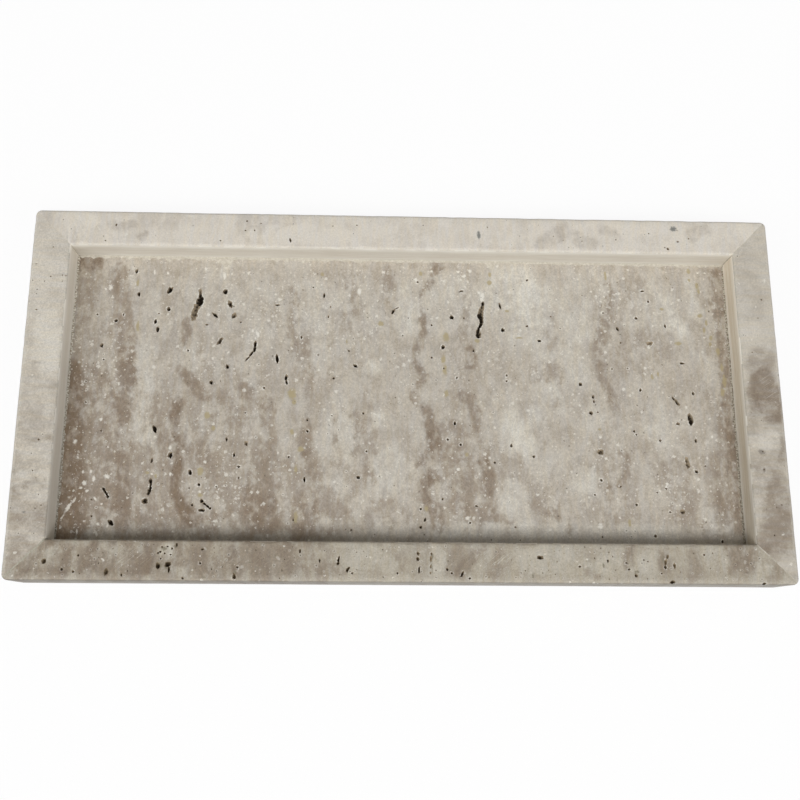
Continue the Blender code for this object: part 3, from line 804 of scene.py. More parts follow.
# %% Mix the five stones
floor_tones = {
    "middle": paint(185, 177, 165),
    "brown": paint(124, 106, 87),
    "pale": paint(209, 204, 193),
    "filler": paint(226, 222, 212),
    "spot": paint(170, 156, 120),
    # side: the share the outer faces are darkened to, a painted shade.
    "side": (0.64, 0.65, 0.675, 1),
    "pore": paint(88, 76, 60),
    "rub_and_highlight": 0.0,
    "rub_width": 1.6,
    "inner": 0.0,
    "ring": 0.5,
    "rim": 0.9,
    "grain": 0.24,
    "stroke_angle": math.radians(57),
}
rail_base = dict(
    floor_tones,
    brown=paint(126, 111, 95),
    spot=paint(104, 106, 104),
    rub_and_highlight=0.4,
    inner=0.05,
    ring=0.25,
    rim=0.45,
    grain=0.13,
)
rail_tones = {
    # The back rail's pale middle tone is partly painted light for the bright back end.
    "back_rail": dict(rail_base, middle=paint(214, 207, 196), pale=paint(222, 216, 205)),
    "left_rail": dict(
        rail_base,
        middle=paint(206, 199, 187),
        pale=paint(217, 212, 201),
        inner=0.1,
        grain=0.23,
    ),
    "right_rail": dict(
        rail_base,
        middle=paint(197, 190, 178),
        pale=paint(209, 203, 193),
        spot=paint(136, 129, 119),
        grain=0.17,
    ),
    "front_rail": dict(
        rail_base,
        middle=paint(174, 166, 151),
        pale=paint(198, 193, 181),
        inner=0.0,
        rub_and_highlight=0.13,
        rub_width=2.8,
        spot=paint(124, 117, 98),
        grain=0.22,
        stroke_angle=math.radians(-40),
    ),
}
stone = {
    "base_slab": make_stone("floor_stone", floor_tones, white=1.0, pins=0.5, band_share=0.15, clouds=0.44),
}
for name, tones in rail_tones.items():
    in_front = name == "front_rail"
    stone[name] = make_stone(
        name + "_stone",
        tones,
        turned=name in ("left_rail", "right_rail"),
        white=0.35 if in_front else 0.12,
        pins=0.85 if in_front else 0.16,
        band_share=0.2 if in_front else 0.1,
        clouds=0.36 if in_front else 0.2,
    )
print("stones:", list(stone))


# %% [markdown]
# ## Inside the pores
# An open pore is dark for two reasons: little light gets in, and years of mud line it. The
# shape gives the first. The colour runs from the stone's tone at the mouth to a deep brown a
# millimetre and a half down, partly for the mud and partly as painted shade that deepens with depth.

# %% Pore lining
def make_lining(name, mouth, mud_and_painted_shade, surface_level):
    material, tree, shader = principled(name, Roughness=0.9, Specular_IOR_Level=0.2)
    point = object_millimetres(tree)
    uneven = cloud(tree, point, (0.7, 0.7, 0.7))
    depth = calc(tree, "SUBTRACT", surface_level / mm, coordinate(tree, point, "Z"))
    # Partly mud, partly painted shade: the colour darkens with depth below the surface.
    deep = fade(tree, times(tree, uneven, 0.5, depth), 0.35, 1.6)
    tree.links.new(blend(tree, deep, mouth, mud_and_painted_shade), shader.inputs["Base Color"])
    bump(tree, uneven, shader, 0.2 * mm, 0.6)
    return material


floor_lining = make_lining("floor_pore_lining", paint(164, 149, 126), paint(46, 38, 28), floor_level)
rail_lining = make_lining("rail_pore_lining", paint(152, 137, 113), paint(74, 62, 45), rim_level)
print("linings:", floor_lining.name, rail_lining.name)


# %% [markdown]
# ## Filler and walls
# Filler is chalky and mottled. The inner walls of the rails were skimmed with it, in strokes
# along the wall. Towards the front the side walls and their foot filler are darkened as painted
# shade. Each wall is also paler near its top and its foot than across its middle; the pale top
# is a painted highlight under the rounded arris.

# %% Filler, wall skim and adhesive
def finish_filler(tree, shader, point, colour, mottle, front):
    across = coordinate(tree, point, "Y")
    # Painted shade: the colour darkens towards the front where front is below 1.
    front_shade = fade(tree, across, -opening_y / mm, opening_y / mm, front, 1.0)
    tree.links.new(vector_calc(tree, "SCALE", colour, front_shade), shader.inputs["Base Color"])
    bump(tree, mottle, shader, 0.15 * mm, 0.5)


def make_filler(name, pale, shadow, grain_size, soft=0.2, front=1.0):
    material, tree, shader = principled(name, Roughness=0.85, Specular_IOR_Level=0.25)
    point = object_millimetres(tree)
    mottle = cloud(tree, point, (grain_size, grain_size, grain_size), 5.0, 0.65)
    colour = blend(tree, fade(tree, mottle, 0.5 - soft, 0.5 + soft), shadow, pale)
    finish_filler(tree, shader, point, colour, mottle, front)
    return material


def make_wall(name, pale, shadow, stroke_size, front=1.0):
    material, tree, shader = principled(name, Roughness=0.8, Specular_IOR_Level=0.25)
    point = object_millimetres(tree)
    streaks = cloud(tree, point, stroke_size, 5.0, 0.62)
    mottle = cloud(tree, point, (1.6, 1.6, 1.0), 4.0)
    # The wall is paler near its top and its foot than across its middle; the pale top is a painted highlight
    # under the rounded arris.
    from_middle = calc(tree, "SUBTRACT", coordinate(tree, point, "Z"), (floor_level + rim_level) / 2 / mm)
    middle = fade(tree, calc(tree, "ABSOLUTE", from_middle), 1.5, 4.5, 0.55, 0.0)
    tone = times(tree, fade(tree, streaks, 0.3, 0.7), 0.6, middle)
    tone = times(tree, mottle, 0.3, calc(tree, "SUBTRACT", tone, 0.2), clamp=True)
    finish_filler(tree, shader, point, blend(tree, tone, pale, shadow), mottle, front)
    return material


white_filler = make_filler("white_filler", paint(206, 200, 187), paint(182, 174, 158), 1.0)
foot_fillers = {
    "front_rail": white_filler,
    "back_rail": white_filler,
    # The side fillers darken towards the front: painted shade.
    "left_rail": make_filler("left_filler", paint(228, 222, 209), paint(150, 138, 119), 0.7, 0.1, 0.6),
    "right_rail": make_filler("right_filler", paint(204, 196, 179), paint(128, 117, 100), 0.7, 0.1, 0.7),
}
line_material = {
    "front_left": make_filler("grey_mitre_filler", paint(184, 179, 164), paint(158, 153, 137), 0.7),
    "front_right": make_filler("front_mitre_filler", paint(203, 197, 184), paint(168, 160, 144), 1.4),
    "back_left": make_filler("mitre_filler", paint(214, 207, 193), paint(196, 188, 173), 1.0),
    "back_right": white_filler,
}
# The last numbers of the side walls darken them towards the front: painted shade.
walls = {
    "front_rail": make_wall("front_wall_skim", paint(222, 215, 200), paint(206, 197, 178), (16, 2, 1.2)),
    "back_rail": make_wall("back_wall_skim", paint(227, 223, 213), paint(213, 206, 193), (16, 2, 1.2)),
    "left_rail": make_wall("left_wall_skim", paint(248, 243, 233), paint(238, 231, 218), (2, 16, 1.6), 0.8),
    "right_rail": make_wall(
        "right_wall_skim", paint(254, 249, 238), paint(226, 213, 190), (2, 22, 0.7), 0.71,
    ),
}
adhesive = make_filler("bed_adhesive", paint(196, 186, 164), paint(170, 160, 138), 1.5)
print("materials so far:", len(bpy.data.materials))


# %% [markdown]
# ## Shaping tools
# Every piece starts as a bmesh. A few steps are shared: a block between two corners, a plane
# that cuts through everything, rounded edges, and finer slices where a shape will be bent.

# %% Helpers for shaping
same_place = 1e-6
weld_gap = 1e-7


def block(bm, low, high):
    made = bmesh.ops.create_cube(bm, size=1)["verts"]
    bmesh.ops.scale(bm, vec=high - low, verts=made)
    bmesh.ops.translate(bm, vec=(low + high) / 2, verts=made)


def cut_at(bm, point, direction, drop_outer=False):
    everything = bm.verts[:] + bm.edges[:] + bm.faces[:]
    return bmesh.ops.bisect_plane(
        bm, geom=everything, plane_co=point, plane_no=direction, clear_outer=drop_outer, dist=weld_gap,
    )


def round_edges(bm, edges, radius, steps, clamp=False):
    bmesh.ops.bevel(
        bm, geom=edges, offset=radius, affect="EDGES", segments=steps, profile=0.5, material=-1,
        clamp_overlap=clamp,
    )


def level_edges(bm, height, chosen=lambda middle: True):
    found = []
    for edge in bm.edges:
        a, b = (v.co for v in edge.verts)
        if abs(a.z - height) < same_place and abs(b.z - height) < same_place and chosen((a + b) / 2):
            found.append(edge)
    return found


def slice_evenly(bm, axis, start, end, step):
    count = max(1, round((end - start) / step))
    direction = Vector([1.0 if k == axis else 0.0 for k in range(3)])
    for k in range(1, count):
        cut_at(bm, direction * (start + (end - start) * k / count), direction)


def refine(bm, axis, longest, cuts):
    chosen = []
    for edge in bm.edges:
        way = edge.verts[1].co - edge.verts[0].co
        if way.length > longest and abs(way[axis]) > 0.999 * way.length:
            chosen.append(edge)
    bmesh.ops.subdivide_edges(bm, edges=chosen, cuts=cuts, use_grid_fill=True)


def set_down(bm, x_axis, y_axis, place):
    turn = Matrix((
        (x_axis.x, y_axis.x, 0),
        (x_axis.y, y_axis.y, 0),
        (0, 0, 1),
    ))
    bmesh.ops.transform(bm, matrix=turn.to_4x4(), space=Matrix.Identity(4), verts=bm.verts)
    bmesh.ops.translate(bm, vec=place, verts=bm.verts)


print("points closer than this are welded, in mm:", weld_gap / mm)


# %% [markdown]
# A finished bmesh becomes an object at the origin. A Boolean modifier is applied at once, so
# that the mesh itself already has the cut. Dressing a piece hangs it on the root body and hides
# the CAD node it replaces.

# %% Helpers for pieces
smooth_angle = math.radians(38)


def finish_mesh(mesh):
    for face in mesh.polygons:
        face.use_smooth = True
    mesh.set_sharp_from_angle(angle=smooth_angle)


def keep(bm, name, materials):
    mesh = bpy.data.meshes.new(name)
    bmesh.ops.recalc_face_normals(bm, faces=bm.faces)
    bm.to_mesh(mesh)
    bm.free()
    for material in materials:
        mesh.materials.append(material)
    finish_mesh(mesh)
    piece = bpy.data.objects.new(name, mesh)
    bpy.context.scene.collection.objects.link(piece)
    return piece


def combine(piece, tool, operation):
    joint = piece.modifiers.new("cut", "BOOLEAN")
    joint.object = tool
    joint.operation = operation
    joint.solver = "MANIFOLD"
    joint.material_mode = "TRANSFER"
    graph = bpy.context.evaluated_depsgraph_get()
    made = bpy.data.meshes.new_from_object(piece.evaluated_get(graph))
    piece.modifiers.clear()
    spare = piece.data
    piece.data = made
    bpy.data.meshes.remove(spare)
    bpy.data.objects.remove(tool)
    finish_mesh(made)
    print(piece.name, operation.lower(), "leaves", len(made.polygons), "faces")


def dress(piece, node):
    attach(piece, "root")
    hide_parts(node)
    print(piece.name, "faces:", len(piece.data.polygons))


# %% [markdown]
# ## The rim, before it is sawn
# The four rails were glued first and sanded together, so their rounded edges run on across
# each mitre. The same order works here: a block with round corners, its middle taken out, its
# edges rounded, and only then the four mitre cuts.

# %% Make the rim
corner_radius = 2.4 * mm
outer_round = 1.5 * mm
inner_round = 1.0 * mm
sharp_round = 0.12 * mm


def outline(bm, low_z, high_z):
    block(bm, Vector((-half_length, -half_width, low_z)), Vector((half_length, half_width, high_z)))
    corners = [e for e in bm.edges if (e.verts[0].co - e.verts[1].co).xy.length < same_place]
    round_edges(bm, corners, corner_radius, 6)


def in_opening(point):
    return abs(point.x) < opening_x - same_place and abs(point.y) < opening_y - same_place


def ring(low_z, high_z):
    bm = bmesh.new()
    outline(bm, low_z, high_z)
    for wall in (-opening_x, opening_x):
        cut_at(bm, (wall, 0, 0), (1, 0, 0))
    for wall in (-opening_y, opening_y):
        cut_at(bm, (0, wall, 0), (0, 1, 0))
    middle = [f for f in bm.faces if in_opening(f.calc_center_median())]
    bmesh.ops.delete(bm, geom=middle, context="FACES")
    bmesh.ops.bridge_loops(bm, edges=[e for e in bm.edges if e.is_boundary])
    bmesh.ops.recalc_face_normals(bm, faces=bm.faces)
    bm.normal_update()
    return bm


def rim_edges(bm, height, inside):
    found = []
    for edge in level_edges(bm, height):
        middle = (edge.verts[0].co + edge.verts[1].co) / 2
        off_x = abs(middle.x) - opening_x
        off_y = abs(middle.y) - opening_y
        on_wall = abs(max(off_x, off_y)) < same_place
        steepness = [abs(f.normal.z) for f in edge.link_faces]
        is_arris = len(steepness) == 2 and min(steepness) < 0.5 < max(steepness)
        if is_arris and on_wall == inside:
            found.append(edge)
    return found


rim = ring(rail_bottom, rim_level)
for height, inside, radius, steps in (
    (rim_level, False, outer_round, 5),
    (rim_level, True, inner_round, 4),
    (rail_bottom, False, sharp_round, 1),
):
    round_edges(rim, rim_edges(rim, height, inside), radius, steps, clamp=True)
    rim.normal_update()
print("rim faces:", len(rim.faces))

# %% [markdown]
# Hand sanding never leaves a dead straight edge. The rim is sliced finely, and each point then
# sinks a few hundredths of a millimetre along its normal, more on the arrises. It only ever
# sinks, so the tray doesn't outgrow its CAD box.

# %% Wear the rim
rim_step = 7 * mm
wall_step = 2.5 * mm
slice_evenly(rim, 0, -half_length, half_length, rim_step)
slice_evenly(rim, 1, -half_width, half_width, rim_step)
slice_evenly(rim, 2, rail_bottom, rim_level - outer_round, wall_step)
for axis in (0, 1):
    refine(rim, axis, 3 * mm, 6)
rim.normal_update()

worn_face = 0.07 * mm
worn_arris = 0.28 * mm
outer_band = 1.6 * mm
inner_band = 1.1 * mm
slow_length = 22 * mm
quick_length = 4.5 * mm


def wear(point):
    outside = min(half_length - abs(point.x), half_width - abs(point.y))
    inside = max(abs(point.x) - opening_x, abs(point.y) - opening_y)
    height = point.z - (rim_level - outer_band)
    slow_wave = 0.5 + 0.5 * noise.noise(point / slow_length)
    quick_wave = max(0.0, noise.noise(point / quick_length + Vector((7, 3, 1))))
    if inside < 0.2 * mm and height < 0:
        return 2.2 * worn_face * slow_wave
    if height > 0 and (outside < outer_band or inside < inner_band):
        return worn_face * slow_wave + worn_arris * quick_wave * min(1.0, height / mm)
    return worn_face * slow_wave


for vert, sink in [(v, wear(v.co)) for v in rim.verts]:
    vert.co -= vert.normal * sink
rim.normal_update()
print("worn points:", len(rim.verts))

# %% [markdown]
# ## Pits
# The pits are what makes this stone. Each row is pixel across, pixel down, half width, half
# height and, where needed, a turn in degrees and a factor for the depth. A long crack is a
# chain of such pits.

# %% Pits seen in the floor
floor_pits = [
    (200.3, 291.6, 1.3, 2.6, 0, 0.5), (200.2, 295.4, 1.7, 2.6, 0, 0.8), (200.8, 299.6, 2.9, 3, 0, 1.3),
    (200.6, 303.4, 2.7, 2.6, 0, 1.3), (198.4, 302.4, 2.2, 2.6, 0, 0.8),
    (196.8, 306.2, 2.6, 3.4, -20, 0.45), (195.6, 309.8, 2.7, 3.6, -10, 0.4),
    (194.4, 313.6, 2.9, 3.6, 0, 0.42), (193.3, 317.4, 2.3, 3.2, 0, 0.32), (170.1, 290.3, 2.1, 3.6, -20),
    (136.8, 271.6, 1.5, 2.2, -20), (139, 293.9, 1.5, 2.2), (168.8, 309, 1.7, 2.1, 15),
    (225.7, 291.5, 2.1, 2.6, 20), (230.2, 304, 2, 3.6, 18, 0.6), (215.2, 315.2, 1.4, 3.2, 45),
    (234, 316, 2.2, 2.5, -20, 0.6), (207, 324.7, 1.3, 0.9), (240.9, 322.2, 1, 0.8),
    (220, 341, 1.6, 4, -35, 0.6), (255.2, 344.5, 1.4, 3.4, -3), (254.6, 349, 1.3, 3.2, -12),
    (251.4, 353.6, 1.1, 2.8, -35), (247.8, 358.4, 0.8, 3.2, -40), (277.1, 358.8, 1.6, 3.9, 6),
    (277.9, 305, 2.3, 1), (116.2, 320.6, 1.8, 1.5, 30), (97.5, 314.4, 0.9, 1.1),
    (155.5, 321.4, 1.3, 2.5), (157.7, 329.3, 1.3, 2.8), (158.9, 313.6, 0.8, 0.8),
    (101.8, 345.6, 1.5, 1.9), (103.5, 359.5, 0.9, 0.9), (187.9, 350.4, 0.9, 1.1),
    (227.3, 366.7, 1.5, 2.3, 20), (211.1, 382.4, 1.5, 2, 20), (263.8, 387.9, 1, 1.2, 20),
    (286, 377.5, 1.3, 3, -8), (286.6, 382.5, 1, 2.4, 10), (85.9, 381.3, 0.8, 0.8),
    (123.7, 314.4, 0.6, 1.3), (154.4, 429, 1.8, 3.6, 20), (170.1, 455.2, 2.1, 2.9),
    (151.6, 460.5, 1, 2.4, -10), (150.3, 480.8, 1.6, 2.4), (150.7, 484, 1.3, 2.4, -5),
    (150.3, 487.4, 1.3, 2.4, -5), (149.4, 490.4, 1.5, 2.3, -12), (148.4, 493.2, 1.4, 2.2, -12),
    (144.9, 500.8, 2.7, 2.7, 0, 0.62), (103.4, 489.2, 1.3, 2.2, 28), (105, 491.6, 1.2, 2.2, 25),
    (106.4, 494, 1.3, 2.2, 20), (107.6, 496.4, 1.3, 2, 20), (110.4, 522.7, 2.2, 3, 30),
    (91.4, 516, 1, 1), (91.4, 499.5, 0.8, 0.8), (190, 472.4, 1.4, 2.9, 12), (198.8, 484.5, 1.4, 1.5),
    (189.2, 488, 0.8, 0.8), (192, 504.8, 1.1, 1.3), (201.6, 500.8, 1.6, 1.9),
    (204.4, 503.8, 1.1, 2.3, 55), (207.4, 506.2, 1.1, 2.2, 50), (209.9, 508.2, 1.3, 1.2),
    (201.6, 510.2, 3, 1.4), (216.2, 486.7, 0.8, 0.8), (234, 454.7, 1, 2.1), (238.6, 466.6, 1.5, 1.2),
    (238.6, 477.9, 1, 0.9), (246.1, 443.4, 1.6, 2.4, 0, 0.5), (226.5, 439.4, 1, 2.1, 10),
    (245.3, 412.9, 0.8, 0.8), (85.9, 402.1, 0.9, 1), (100.8, 430.6, 0.8, 0.9), (288.7, 456.8, 0.9, 1.1),
    (324.2, 295.4, 0.9, 2.4), (313.4, 287.4, 0.8, 0.9), (301.5, 337.3, 1, 1.5, 10),
    (330.5, 307, 0.6, 0.8), (328.4, 316.9, 0.7, 1.3), (393.2, 311.6, 1.2, 2.8, -28),
    (397, 308.2, 0.6, 1.8, -60), (355.4, 365.8, 2.3, 1.4, -25), (348.8, 350.9, 0.9, 1.1, 20),
    (333.7, 378.3, 1.1, 1.3), (318, 355, 1, 0.6), (417.6, 282.1, 1, 1), (461.5, 291.2, 1.8, 1, 15),
    (451.9, 317.4, 1.9, 2.1, 10), (464, 318.2, 0.8, 1), (482.8, 303.8, 1.3, 2.2, 0, 1.2),
    (482.2, 307, 1.7, 2.8, 0, 0.55), (481.4, 310.2, 2.3, 3, 0, 0.4), (480.8, 313.4, 2.7, 3, 0, 0.45),
    (480.3, 316, 2.8, 2.8, 0, 0.8), (481, 318.6, 2.2, 2.6, 0, 0.8), (481.5, 321.2, 1.7, 2.6, 0, 0.9),
    (481, 323.8, 1.6, 2.2, -20), (479.8, 326.4, 1.5, 2.2, -25), (478.6, 329, 1.5, 2.2, -10, 0.9),
    (478.1, 331.8, 1.9, 2.4, 0, 0.9), (478.2, 334.6, 2.3, 2.4), (478.4, 336.6, 2.1, 1.6, 0, 0.9),
    (500, 306.1, 1, 2.9, 15), (502.7, 330.2, 1.8, 2), (443, 347.1, 1.8, 2), (431.7, 325.2, 0.9, 1),
    (473.6, 350.6, 1, 1.5), (431.7, 357.5, 0.9, 1), (443.8, 368.3, 0.9, 1), (456.9, 377.9, 1.1, 1.1),
    (506.6, 375.4, 1, 1), (506.6, 381.1, 1, 1), (402.7, 335.6, 0.8, 0.8), (307.3, 419.9, 1.1, 1.2),
    (307.3, 431, 1.3, 1.3), (304.3, 479.6, 1.2, 2.4, 10), (331.9, 415.7, 0.7, 0.7),
    (363.2, 413.2, 1, 1.1), (366.5, 451.4, 1.1, 1.1), (358.2, 477.4, 1.8, 1.6),
    (293.2, 519.9, 0.8, 1.2), (351.3, 530.1, 1, 0.9), (454.9, 423.2, 1.2, 1.9, 10),
    (447.9, 439.4, 1.2, 1.2), (460.7, 444.7, 1.3, 1.3), (495, 462.6, 1.1, 1.2), (511.3, 445.6, 1, 1.7),
    (442.5, 499.1, 1, 1), (420.6, 508.9, 1.1, 1.1), (425, 519.8, 1, 2.1, -20), (420.9, 527.3, 1.4, 1.5),
    (470.1, 522.7, 1.1, 1.1), (476.5, 506.1, 1.2, 0.9), (515.4, 527.1, 0.9, 0.8), (527, 280.3, 1, 1),
    (527, 326.3, 1.3, 0.9), (539.6, 340.9, 1.9, 1.3, -10), (550.7, 316.5, 0.7, 0.7),
    (580.6, 384.4, 1.6, 1.7), (603, 313, 0.9, 0.9), (648.2, 301.7, 1.1, 1.2), (642.4, 291.2, 2, 0.9),
    (635.9, 318.4, 1.4, 1.3), (617.6, 329.1, 1.1, 2.2, 25), (650, 343.3, 2.9, 2.2, 25, 0.36),
    (665, 326.1, 1, 1.8, 10), (620.6, 342.8, 0.8, 0.8), (682, 363.3, 2.2, 0.9),
    (627.8, 368.3, 0.9, 0.7), (640.4, 390.1, 1, 1.9), (693.1, 393.6, 1.2, 1.6, 15),
    (593.2, 397, 1.1, 1.7), (594, 401.6, 0.8, 1.4), (591, 413.1, 1.6, 1.6), (597.8, 412.2, 0.8, 0.8),
    (676.9, 402.4, 1.4, 3.6, 30, 0.6), (673.4, 398.6, 0.8, 2.6, 42), (689.9, 417.4, 2.3, 3.7, 12, 0.6),
    (691, 422, 2.2, 3, 0, 0.9), (677.9, 423.8, 1.9, 1.4, 0, 0.6), (634.3, 431.1, 0.9, 1.3),
    (636.3, 434.6, 0.9, 1), (660.2, 440.5, 1.2, 1.2), (695.9, 440.9, 1.1, 1.6),
    (600.6, 452, 2.8, 2.6, -20, 0.5), (686.9, 460.8, 1.8, 3.2, 14, 0.42),
    (688.2, 465.6, 2.1, 2.8, 8, 0.45), (696.8, 471.9, 1.5, 1.4), (705.5, 466.2, 0.8, 0.8),
    (601.5, 480.3, 1.2, 1.4), (595.1, 494.9, 0.9, 0.9), (620.6, 486.7, 1.2, 0.8, 20),
    (666.3, 488.9, 1.1, 0.9), (657.6, 492.6, 1, 0.9), (636.7, 504.7, 1.2, 1.2), (670.3, 512.1, 1, 1),
    (682.9, 512.1, 2.4, 2.2, 0, 0.55), (655.6, 536.1, 1.4, 1.4), (722.7, 541.7, 1.2, 1.5),
    (533.7, 456.6, 1.2, 1.4), (708.8, 311.5, 0.8, 0.8), (602.5, 537, 1, 0.8), (612, 369, 0.8, 1),
]
print("pits in the floor's list:", len(floor_pits))

# %% [markdown]
# The front rail is full of pits, the other three have only a few small ones.

# %% Pits seen in the rails
rail_pits = {
    "front_rail": [
        (43.6, 560.8, 2, 2.4, -35, 0.75), (78.1, 555.3, 1, 1.1), (61.5, 569.1, 1.2, 1.5),
        (73.1, 571.6, 1.2, 1.1), (105.8, 571.9, 1.9, 3.5, -8, 0.7), (121.2, 574.9, 0.8, 1.5),
        (160.2, 551.7, 1.3, 1), (157.7, 565.8, 1.9, 2.9), (167.6, 564.6, 3, 2.2, 20),
        (168.6, 569.4, 1, 3.2), (176.8, 544.8, 1, 1.8), (202.5, 549.2, 1.5, 1, 20),
        (237.3, 567.1, 1.3, 1.1), (234, 576.6, 1.8, 2.6, 0, 0.75), (182.2, 578.2, 1.3, 1.2),
        (200, 563.3, 1, 1.4), (338.6, 559.6, 1, 3.2, -12), (338, 563.4, 1.2, 1.6),
        (347.9, 569.4, 1.2, 3, -30), (352.1, 573.2, 1, 1.1), (319.7, 560.5, 0.8, 2), (300, 551, 0.8, 2),
        (418.1, 553.3, 1.4, 1.5, 0, 0.7), (417.9, 559.1, 1.6, 1.8, 0, 0.8), (419.2, 569.9, 1, 2.8),
        (431.4, 553.8, 1.1, 1.3, 0, 0.6), (430.9, 558.5, 1.1, 2.4, 0, 0.4),
        (430.6, 566.5, 0.8, 1.4, 0, 0.4), (430.3, 573, 0.8, 1.4, 0, 0.4), (447.4, 569.4, 1.2, 1.4, 25),
        (451.9, 573.2, 1.1, 1), (462.4, 574.1, 1.2, 2.8, -25), (469.8, 578.4, 1.1, 1.1),
        (397.4, 573.2, 0.8, 1.3), (540.1, 557.6, 2.8, 1.8, 0, 0.8), (608, 561, 1, 1.6),
        (626.5, 563, 1.2, 1), (667.4, 556.6, 1.1, 2.2, -15, 0.6), (665.8, 562, 1.4, 2.8, -10, 0.5),
        (665.6, 567.4, 1.2, 1.8), (674.6, 565.7, 1.4, 2.6, 0, 0.5), (704.2, 555, 1, 1),
        (629.3, 569.4, 1.2, 1, 30), (636.3, 575.9, 1.3, 1.6), (661.7, 573.6, 1, 0.9),
        (162, 547, 0.9, 0.9), (167.5, 546.4, 1.1, 0.8), (172, 548.6, 0.9, 1), (158, 553, 0.8, 1.1),
        (164.6, 553.4, 0.9, 0.8), (170.4, 554.6, 0.9, 0.8), (160.6, 558.4, 0.8, 0.9),
        (672.7, 582.4, 2.6, 1.7), (765, 584, 2.2, 1.4), (579.9, 566.6, 1.2, 1), (644, 560, 0.8, 0.8),
        (648, 561.5, 0.7, 0.7),
    ],
    "back_rail": [
        (116.2, 224.9, 0.9, 1.1), (105.5, 240.3, 0.7, 0.6), (290.3, 240, 0.8, 2, 10),
        (357, 225.4, 0.7, 0.6), (333, 226, 0.6, 0.6), (677.8, 241.6, 1, 0.8), (688.5, 238.8, 0.8, 0.7),
        (668.1, 249, 1.3, 0.9, -30), (664.8, 247.6, 0.7, 0.6), (648.7, 233.6, 0.7, 0.5),
        (247, 221, 0.8, 0.7), (245.5, 230.4, 0.9, 0.6), (254.8, 230.2, 0.6, 0.8),
        (261, 223.5, 0.7, 0.6), (220.6, 240.6, 0.9, 0.5),
    ],
    "left_rail": [
        (38.6, 439.4, 1.1, 0.9), (50.7, 276.3, 0.7, 0.6), (62.3, 275, 0.7, 0.6),
        (65.9, 275.6, 0.6, 0.6), (36.3, 263.8, 0.8, 0.5), (32.5, 470.4, 0.7, 0.6),
        (36.4, 309.6, 1, 0.6), (35, 508, 0.7, 0.6), (41, 505, 0.6, 0.6),
    ],
    "right_rail": [
        (761.5, 299.9, 0.7, 0.7), (763, 451.6, 0.8, 0.6, 20), (764.3, 469.5, 0.7, 1),
        (772, 284, 0.6, 0.6), (758, 318, 0.6, 0.5), (782, 505, 0.7, 0.6),
    ],
}
print("pits in the rails' lists:", sum(len(rows) for rows in rail_pits.values()))


# %% [markdown]
# A lumpy ball is pushed into the surface at each place in the lists. Between them, small pits
# are scattered at random, with a fixed seed, and kept clear of the others. Neighbours that
# overlap go into separate cutters, because a cutter that crosses itself confuses the Boolean.

# %% Cut the pits
mouth_wear = 1.16
tiny_pit = 0.24 * mm
large_pit = 0.7 * mm
deepest_pit = 2.6 * mm
smallest_pit = 0.1 * mm
free_gap = 1.3 * mm
gather_width = 14 * mm
gather_length = 34 * mm


def lump(bm, place, sides, turn, draw, steps, roughness=0.45):
    verts = bmesh.ops.create_icosphere(bm, subdivisions=steps, radius=1.0)["verts"]
    seed = Vector([draw.uniform(0, 60) for _ in range(3)])
    for vert in verts:
        wobble = noise.noise(vert.co * 1.3 + seed) + 0.4 * noise.noise(vert.co * 3.1 + seed)
        vert.co *= 1.0 + roughness * wobble
        narrow = 1.0 - 0.4 * max(0.0, -vert.co.z)
        vert.co.x *= narrow
        vert.co.y *= narrow
    bmesh.ops.scale(bm, vec=sides, verts=verts)
    bmesh.ops.rotate(bm, cent=(0, 0, 0), matrix=Matrix.Rotation(turn, 3, "Z"), verts=verts)
    bmesh.ops.translate(bm, vec=place, verts=verts)


def listed_pits(rows, height):
    pits = []
    for pixel_x, pixel_y, wide, long, turn, deeper in map(whole_row, rows):
        place = place_of(pixel_x, pixel_y, height)
        size = pixel_size(place) * mouth_wear
        pits.append((place, wide * size, long * size, math.radians(turn), deeper))
    return pits


def scattered_pits(draw, count, height, low, high, largest, taken, allowed=lambda place: True):
    pits = []
    tries = 0
    while len(pits) < count and tries < count * 30:
        tries += 1
        place = Vector((draw.uniform(low[0], high[0]), draw.uniform(low[1], high[1]), height))
        gather = noise.noise(Vector((place.x / gather_width, place.y / gather_length, 3.7)))
        if gather < draw.uniform(-0.5, 0.4) or not allowed(place):
            continue
        if any((place - other[0]).length < free_gap + other[1] + other[2] for other in taken + pits):
            continue
        wide = draw.uniform(smallest_pit, largest) * draw.uniform(0.6, 1.0)
        pits.append((place, wide, wide * draw.uniform(0.8, 1.8), draw.uniform(-0.5, 0.5), 1.0))
    return pits


def separate_layers(pits):
    layers = []
    for pit in pits:
        place, wide, long = pit[:3]
        for layer in layers:
            if all((place - other[0]).length > 1.4 * (max(wide, long) + max(other[1:3])) for other in layer):
                layer.append(pit)
                break
        else:
            layers.append([pit])
    return layers


def cut_pits(piece, pits, lining, draw):
    for layer in separate_layers(pits):
        tool_mesh = bmesh.new()
        for place, wide, long, turn, deeper in layer:
            depth = deeper * min(deepest_pit, 0.5 * mm + 1.5 * math.sqrt(wide * long))
            reach = max(wide, long)
            steps = 1 + (reach >= tiny_pit) + (reach > large_pit)
            lump(tool_mesh, place, (wide, long, depth), turn, draw, steps)
        combine(piece, keep(tool_mesh, "pit_tool", [lining]), "DIFFERENCE")


# %% [markdown]
# ## Base slab
# The slab is the floor of the recess and runs on under the rails to the outline. It keeps a
# flat face, since it was honed before the rails went on. Only its outer edge is worn.

# %% Make the slab
under_round = 0.8 * mm
slab_step = 6 * mm
worn_band = 1 * mm
field_margin = 1.5 * mm
floor_small_pits = 170

